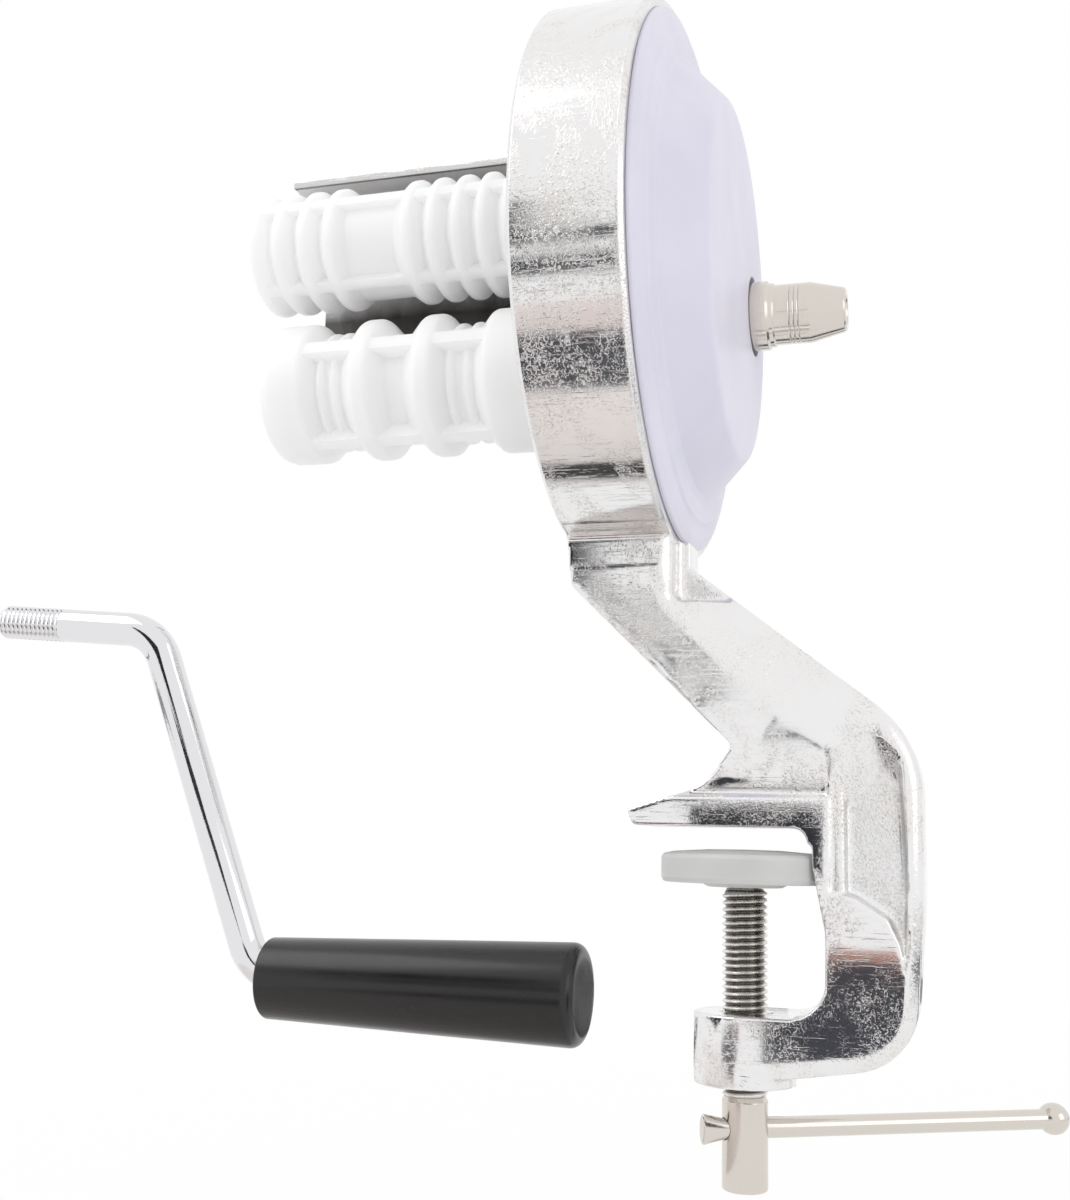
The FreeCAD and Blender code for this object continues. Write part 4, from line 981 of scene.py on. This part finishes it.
def threaded_bar(name, radius, low, high, core_end, pitch, depth, slot):
    """A threaded bar along Z, with a plain end of core_end radius at the top; lengths in metres."""
    rows = int((high - low) / (pitch / ROWS_PER_TURN))
    profile = [(low / MM, 0), (low / MM, radius / MM - CHAMFER)]
    start = low + CHAMFER * MM
    for row in range(rows + 1):
        profile.append(((start + (high - CHAMFER * MM - start) * row / rows) / MM, radius / MM))
    profile += [(high / MM, core_end / MM), (high / MM, 0)]
    piece = lathe(name, profile, ORIGIN, AXIS_Z, steps=settings().thread.facets)
    modifier = piece.modifiers.new("thread", "NODES")
    modifier.node_group = thread_tree()
    values = {"Pitch": pitch, "Depth": depth, "Low": low, "High": high, "Material": finish_of(slot)}
    for key, value in values.items():
        set_input(modifier, key, value)
    apply_modifiers(piece)
    smooth_shade(piece, 60)
    return piece


class CAVATELLI_OT_screw(bpy.types.Operator):
    """Makes the clamp screw with its thread and cross-drilled head"""
    bl_idname = "cavatelli.screw"
    bl_label = "Clamp screw"

    def execute(self, context):
        thread = settings().thread
        screw = threaded_bar(
            "screw_thread", SCREW_RADIUS, SCREW_LOW, SCREW_HIGH, 4.0 * MM,
            thread.screw_pitch, thread.screw_depth, "thread_steel",
        )
        stations = [(-14.5, 0), (-14.5, 4.1), (-13.3, 4.1), (-13.3, 3.6), (-7.6, 3.6), (-7.6, 0)]
        neck = lathe("neck", stations, ORIGIN, AXIS_Z, steps=64)
        neck.data.materials.append(finish_of("thread_steel"))
        dress(join([screw, neck]), "thread_steel", "clamp_screw", "clamp_screw")
        stations = [
            (-76.7, 0, 0), (-76.7, 4.95, 0.7), (-58.2, 4.95, 0.5), (-56.6, 4.1, 0.2), (-56.0, 4.1, 0),
            (-56.0, 0, 0),
        ]
        head = lathe("screw_head", rounded(stations), ORIGIN, AXIS_Z, steps=96)
        slide = joint_axis("tommy_bar_slide")
        cut_away(head, pin("hole", -12, 12, BAR_HOLE, BAR_CENTRE, slide, steps=48))
        smooth_shade(head)
        dress(head, "nickel_steel", "clamp_screw")
        return {"FINISHED"}


class CAVATELLI_OT_pad(bpy.types.Operator):
    """Makes the swivelling clamp pad"""
    bl_idname = "cavatelli.pad"
    bl_label = "Clamp pad"

    def execute(self, context):
        stations = [
            (-7.3, 0, 0), (-7.3, 3.65, 0), (-13.0, 3.65, 0.2), (-13.0, 8.2, 0.5), (-12.1, 9.8, 0.6),
            (-12.1, 18.0, 0.6), (-11.0, 18.5, 0.8), (-6.6, 18.5, 0.7), (-5.9, 17.9, 0.6), (-5.4, 15.5, 3.0),
            (-4.9, 8.0, 4.0), (-4.8, 0, 0),
        ]
        pad = lathe("moulded_pad", rounded(stations), ORIGIN, AXIS_Z)
        dress(pad, "pad_plastic", "clamp_pad", "clamp_pad")
        return {"FINISHED"}


class CAVATELLI_OT_bar(bpy.types.Operator):
    """Makes the sliding cross bar with its flattened end and its ball"""
    bl_idname = "cavatelli.bar"
    bl_label = "Cross bar"

    def execute(self, context):
        slide = joint_axis("tommy_bar_slide")
        ball = []
        for step in range(BALL_STEPS + 1):
            angle = math.radians(BALL_SWEEP - BALL_SWEEP * step / BALL_STEPS)
            ball.append((BALL_PLACE + BALL_RADIUS * math.cos(angle), BALL_RADIUS * math.sin(angle)))
        stations = [
            (-10.0, 0, 0), (-10.0, BAR_RADIUS, 0.5), (FLAT_PLACE, BAR_RADIUS, 0), (72.6, BAR_RADIUS, 0),
        ]
        bar = lathe("cross_bar", rounded(stations) + ball, BAR_CENTRE, slide, steps=64)
        side = slide.cross(AXIS_Z)
        for vertex in bar.data.vertices:
            local = vertex.co - BAR_CENTRE
            along = local.dot(slide) / MM
            if along < FLAT_PLACE:
                press = min((FLAT_PLACE - along) / FLAT_RUN, 1.0)
                vertex.co -= side * local.dot(side) * FLAT_THINNER * press
                vertex.co.z += local.z * FLAT_TALLER * press
        dress(bar, "nickel_steel", "tommy_bar", "tommy_bar")
        return {"FINISHED"}


# Crank
CRANK_Y = -26.0
ROD_RADIUS = 4.0
CRANK_TIP = Vector((-179.2, CRANK_Y, 46.3))
CRANK_TOP = Vector((-136.8, CRANK_Y, 43.2))
CRANK_FOOT = Vector((-105.3, CRANK_Y, -35.5))
CRANK_BEND = 12.0
CRANK_THREAD = 17.5
THREAD_OVERLAP = 0.4        # the thread's bar reaches this far into the rod
ROD_SHORT = 4.7             # the rod ends this far inside the grip's end
ARC_STEPS = 16


def rod_route(start, end):
    """Points in mm along the crank rod, with an arc of the bend radius at each corner."""
    corners = [start, CRANK_TOP, CRANK_FOOT, end]
    route = [corners[0]]
    for before, corner, after in zip(corners, corners[1:], corners[2:]):
        back = (before - corner).normalized()
        ahead = (after - corner).normalized()
        half = back.angle(ahead) / 2
        centre = corner + (back + ahead).normalized() * (CRANK_BEND / math.sin(half))
        spoke = corner + back * (CRANK_BEND / math.tan(half)) - centre
        normal = back.cross(ahead).normalized()
        turn = math.pi - 2 * half
        for step in range(ARC_STEPS + 1):
            rotated = spoke.copy()
            rotated.rotate(Matrix.Rotation(-turn * step / ARC_STEPS, 3, normal))
            route.append(centre + rotated)
    route.append(corners[-1])
    return route


def tube(name, route, radius, steps=64):
    """A round bar in mm along a flat route in a plane of constant Y, closed at both ends."""
    points = []
    rows = []
    side = Vector((0, 1, 0))
    for index, here in enumerate(route):
        before = route[max(index - 1, 0)]
        after = route[min(index + 1, len(route) - 1)]
        other = (after - before).normalized().cross(side)
        rows.append(list(range(len(points), len(points) + steps)))
        for step in range(steps):
            angle = 2 * math.pi * step / steps
            points.append((here + (side * math.cos(angle) + other * math.sin(angle)) * radius) * MM)
    faces = [tuple(rows[0]), tuple(rows[-1])]
    for lower, upper in zip(rows, rows[1:]):
        for step in range(steps):
            after = (step + 1) % steps
            faces.append((lower[step], lower[after], upper[after], upper[step]))
    piece = mesh_piece(name, points, faces)
    smooth_shade(piece)
    return piece


class CAVATELLI_OT_crank(bpy.types.Operator):
    """Makes the bent crank rod, its thread and its grip"""
    bl_idname = "cavatelli.crank"
    bl_label = "Crank"

    def execute(self, context):
        thread = settings().thread
        direction = (CRANK_TOP - CRANK_TIP).normalized()
        grip_low, grip_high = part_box("crank_grip")
        grip = Vector((grip_low[0], middle("crank_grip").y, middle("crank_grip").z))
        rod_end = Vector((grip_high[0] / MM - ROD_SHORT, CRANK_Y, CRANK_FOOT.z))
        rod = tube("bent_rod", rod_route(CRANK_TIP + direction * CRANK_THREAD, rod_end), ROD_RADIUS)
        dress(rod, "chromed_steel", "crank", "crank_rod")
        screw = threaded_bar(
            "rod_thread", ROD_RADIUS * MM, 0, (CRANK_THREAD + THREAD_OVERLAP) * MM, ROD_RADIUS * MM,
            thread.crank_pitch, thread.crank_depth, "chromed_steel",
        )
        turn = AXIS_Z.rotation_difference(direction).to_matrix().to_4x4()
        screw.data.transform(Matrix.Translation(CRANK_TIP * MM) @ turn)
        dress(screw, "chromed_steel", "crank")
        stations = [
            (6.5, 4.15, 0), (6.5, 6.3, 0), (0.3, 6.3, 0), (0, 6.6, 0), (0, 8.8, 0.6), (36, 9.8, 0),
            (72.1, 10.75, 2.4), (72.1, 7.0, 0), (62.1, 7.0, 0), (62.1, 4.15, 0),
        ]
        handle = lathe("moulded_grip", rounded(stations, 8), grip, closed=True)
        dress(handle, "grip_plastic", "crank_grip", "crank_grip")
        return {"FINISHED"}


# Inner pieces
class CAVATELLI_OT_inside(bpy.types.Operator):
    """Gives the gears, axles, bushes and other inner pieces their finishes"""
    bl_idname = "cavatelli.inside"
    bl_label = "Inner pieces"

    def execute(self, context):
        for entry in frame["record"]["subparts"]:
            mesh = NODES[entry["node"]].data
            mesh.materials.clear()
            mesh.materials.append(finish_of(entry["material_slot"]))
        return {"FINISHED"}


# Stage
CAMERA_PLACE = Vector((48.71, -322.06, -4.44)) * MM     # fitted to the photograph, with angles in degrees
CAMERA_AZIMUTH = 17.095
CAMERA_ELEVATION = -9.658
CAMERA_ROLL = 1.422
CAMERA_FOCUS_PIXELS = 1425.8
PHOTO_HEIGHT_PIXELS = 1200
SENSOR_HEIGHT = 36.0
FLOOR_REACH = 4.0           # these places and sizes are in metres
FLOOR_DROP = 28 * MM        # room below the screw when the clamp is open
LIGHT_TARGET = Vector((-0.03, 0, 0.06))
KEY_PLACE = Vector((-0.8, -0.5, 1.0))
KEY_SIZE = 0.8
FILL_PLACE = Vector((0.9, -0.4, 0.3))
FILL_SIZE = 0.6


def place_camera():
    """The camera at the photograph's viewing angle, with no shift."""
    azimuth = math.radians(CAMERA_AZIMUTH)
    elevation = math.radians(CAMERA_ELEVATION)
    ahead = Vector((
        -math.sin(azimuth) * math.cos(elevation),
        math.cos(azimuth) * math.cos(elevation),
        -math.sin(elevation),
    ))
    right = Vector((math.cos(azimuth), math.sin(azimuth), 0))
    up = right.cross(ahead)
    roll = math.radians(CAMERA_ROLL)
    across = right * math.cos(roll) + up * math.sin(roll)
    upright = up * math.cos(roll) - right * math.sin(roll)
    data = bpy.data.cameras.new("camera")
    data.sensor_fit = "VERTICAL"
    data.sensor_height = SENSOR_HEIGHT
    data.lens = CAMERA_FOCUS_PIXELS / PHOTO_HEIGHT_PIXELS * SENSOR_HEIGHT
    data.clip_start = 0.01
    camera = new_object("camera", data)
    turn = Matrix((across, upright, -ahead)).transposed().to_4x4()
    camera.matrix_world = Matrix.Translation(CAMERA_PLACE) @ turn
    bpy.context.scene.camera = camera


def softbox(name, place, size, power):
    """A square area light that faces the object."""
    data = bpy.data.lights.new(name, "AREA")
    data.shape = "SQUARE"
    data.size = size
    data.energy = power
    light = new_object(name, data)
    light.location = place
    light.rotation_mode = "QUATERNION"
    light.rotation_quaternion = (LIGHT_TARGET - place).to_track_quat("-Z", "Y")


def pale_world():
    """An even light that the camera and glossy surfaces see as white."""
    stage = settings().stage
    world = bpy.data.worlds.new("studio")
    world.use_nodes = True
    tree = world.node_tree
    tree.nodes.clear()
    path = add(tree, "ShaderNodeLightPath").outputs
    seen = add(tree, MATHS, [path["Is Camera Ray"], path["Is Transmission Ray"]], operation="MAXIMUM")
    seen = add(tree, MATHS, [seen, path["Is Glossy Ray"]], operation="MAXIMUM")
    strength = add(tree, RAMP, [seen, 0.0, 1.0, stage.world_light, 1.0])
    light = add(tree, "ShaderNodeBackground", {"Color": WHITE, "Strength": strength})
    add(tree, "ShaderNodeOutputWorld", {"Surface": light})
    bpy.context.scene.world = world


def floor_finish():
    """Pale seamless paper: white where the camera sees it lit, with the object's soft shadow."""
    material = new_material("seamless paper")
    tree = material.node_tree
    path = add(tree, "ShaderNodeLightPath").outputs
    paper = add(tree, "ShaderNodeBsdfDiffuse", {"Color": linear(settings().stage.floor)})
    glow = add(tree, "ShaderNodeEmission", {"Color": WHITE, "Strength": 1.0})
    seen = add(tree, MATHS, [path["Is Camera Ray"], path["Is Transmission Ray"]], operation="MAXIMUM")
    seen = add(tree, MATHS, [seen, path["Is Glossy Ray"]], operation="MAXIMUM")
    # Near the object the paper keeps a share of its own shading, for the shadow
    place = add(tree, "ShaderNodeTexCoord").outputs["Object"]
    away = add(tree, "ShaderNodeVectorMath", [place], operation="LENGTH").outputs["Value"]
    share = add(tree, RAMP, [away, 0.15, 0.7, 0.88, 1.0])
    share = add(tree, MATHS, [seen, share], operation="MULTIPLY")
    mixed = add(tree, "ShaderNodeMixShader", [share, paper, glow])
    add(tree, "ShaderNodeOutputMaterial", {"Surface": mixed})
    return material


MAT_HEIGHT = -0.0775        # just below the screw's head
CARDS = (
    # name, colour, then the left, front and low corner and the right, back and high one in metres
    ("front_card", "#2A2B2F", (-0.3, -0.4, 0.034), (-0.074, -0.4, 0.082)),
    ("left_card", "#1A1B1F", (-0.35, -0.4, 0.112), (-0.133, -0.4, 0.226)),
    ("neck_card", "#202125", (-0.3, -0.66, 0.11), (-0.12, -0.66, 0.165)),
    ("arm_card", "#2A2B2F", (-0.12, -0.66, 0.008), (-0.024, -0.66, 0.03)),
    ("jaw_card", "#3E3F45", (-0.014, -0.03, -0.01), (0.0165, -0.03, 0.0047)),
    ("clamp_card", "#4C4E56", (0.0, -0.05, -0.056), (0.045, -0.05, -0.03)),
    ("copper_card", "#D49B86", (0.01, -0.05, -0.03), (0.04, -0.05, -0.0274)),
    ("grip_card", "#4A4B50", (-0.012, 0.06, -0.06), (0.002, 0.06, -0.0345)),
    ("side_mat", "#404147", (-0.17, -0.31, MAT_HEIGHT), (-0.052, -0.155, MAT_HEIGHT)),
    ("rose_mat", "#DED2CE", (-0.18, -0.48, MAT_HEIGHT), (-0.052, -0.312, MAT_HEIGHT)),
    ("pale_mat", "#EDE7E4", (-0.2, -0.153, MAT_HEIGHT), (-0.02, 0.0, MAT_HEIGHT)),
    ("rear_mat", "#3A3B40", (-0.3, 0.17, MAT_HEIGHT), (0.3, 0.25, MAT_HEIGHT)),
    ("far_mat", "#6E7076", (-0.3, 0.4, MAT_HEIGHT), (0.3, 0.54, MAT_HEIGHT)),
    ("west_mat", "#85878C", (-1.25, -0.4, MAT_HEIGHT), (-0.95, 0.4, MAT_HEIGHT)),
    ("east_mat", "#5E6066", (0.3, -0.3, MAT_HEIGHT), (0.42, 0.3, MAT_HEIGHT)),
)


def card(name, colour, low, high):
    """A studio card or mat that only shows as a band in what is polished."""
    paper = surface(new_material(name), {"Base Color": linear(colour), "Roughness": 0.9})
    corners = [low, (high[0], low[1], low[2]), high, (low[0], high[1], high[2])]
    board = mesh_piece(name, corners, [(0, 1, 2, 3)])
    board.data.materials.append(paper)
    board.visible_camera = False
    board.visible_diffuse = False
    board.visible_transmission = False
    board.visible_shadow = False


class CAVATELLI_OT_stage(bpy.types.Operator):
    """Sets the floor, the lights, the world and the camera"""
    bl_idname = "cavatelli.stage"
    bl_label = "Stage"

    def execute(self, context):
        stage = settings().stage
        place_camera()
        pale_world()
        height = CAD_BOX[0][2] - FLOOR_DROP
        corners = [
            (-FLOOR_REACH, -FLOOR_REACH, height), (FLOOR_REACH, -FLOOR_REACH, height),
            (FLOOR_REACH, FLOOR_REACH, height), (-FLOOR_REACH, FLOOR_REACH, height),
        ]
        floor = mesh_piece("floor", corners, [(0, 1, 2, 3)])
        floor.data.materials.append(floor_finish())
        softbox("key", KEY_PLACE, KEY_SIZE, stage.key_power)
        softbox("fill", FILL_PLACE, FILL_SIZE, stage.fill_power)
        for entry in CARDS:
            card(*entry)
        context.scene.view_settings.view_transform = "Standard"
        return {"FINISHED"}


class CAVATELLI_PT_panel(bpy.types.Panel):
    """Lists the steps that make the cavatelli maker"""
    bl_label = "Cavatelli maker"
    bl_idname = "CAVATELLI_PT_panel"
    bl_space_type = "VIEW_3D"
    bl_region_type = "UI"
    bl_category = "Cavatelli"

    def draw(self, context):
        for step in STEPS:
            self.layout.operator(step.bl_idname)
        for group in ("metal", "plastic", "thread", "stage"):
            box = self.layout.box()
            values = getattr(context.scene.cavatelli, group)
            for name in values.bl_rna.properties.keys():
                if name not in ("rna_type", "name"):
                    box.prop(values, name)


STEPS = (
    CAVATELLI_OT_inside,
    CAVATELLI_OT_casting,
    CAVATELLI_OT_cover,
    CAVATELLI_OT_rollers,
    CAVATELLI_OT_shaft,
    CAVATELLI_OT_screw,
    CAVATELLI_OT_pad,
    CAVATELLI_OT_bar,
    CAVATELLI_OT_crank,
    CAVATELLI_OT_stage,
)
CLASSES = (
    MetalSettings,
    PlasticSettings,
    ThreadSettings,
    StageSettings,
    CavatelliSettings,
) + STEPS + (CAVATELLI_PT_panel,)


def register():
    for item in CLASSES:
        bpy.utils.register_class(item)
    bpy.types.Scene.cavatelli = PointerProperty(type=CavatelliSettings)


def unregister():
    del bpy.types.Scene.cavatelli
    for item in reversed(CLASSES):
        bpy.utils.unregister_class(item)


def main():
    """Makes everything in order."""
    register()
    bpy.ops.cavatelli.inside()
    bpy.ops.cavatelli.casting()
    bpy.ops.cavatelli.cover()
    bpy.ops.cavatelli.rollers()
    bpy.ops.cavatelli.shaft()
    bpy.ops.cavatelli.screw()
    bpy.ops.cavatelli.pad()
    bpy.ops.cavatelli.bar()
    bpy.ops.cavatelli.crank()
    bpy.ops.cavatelli.stage()


if __name__ == "__main__":
    main()
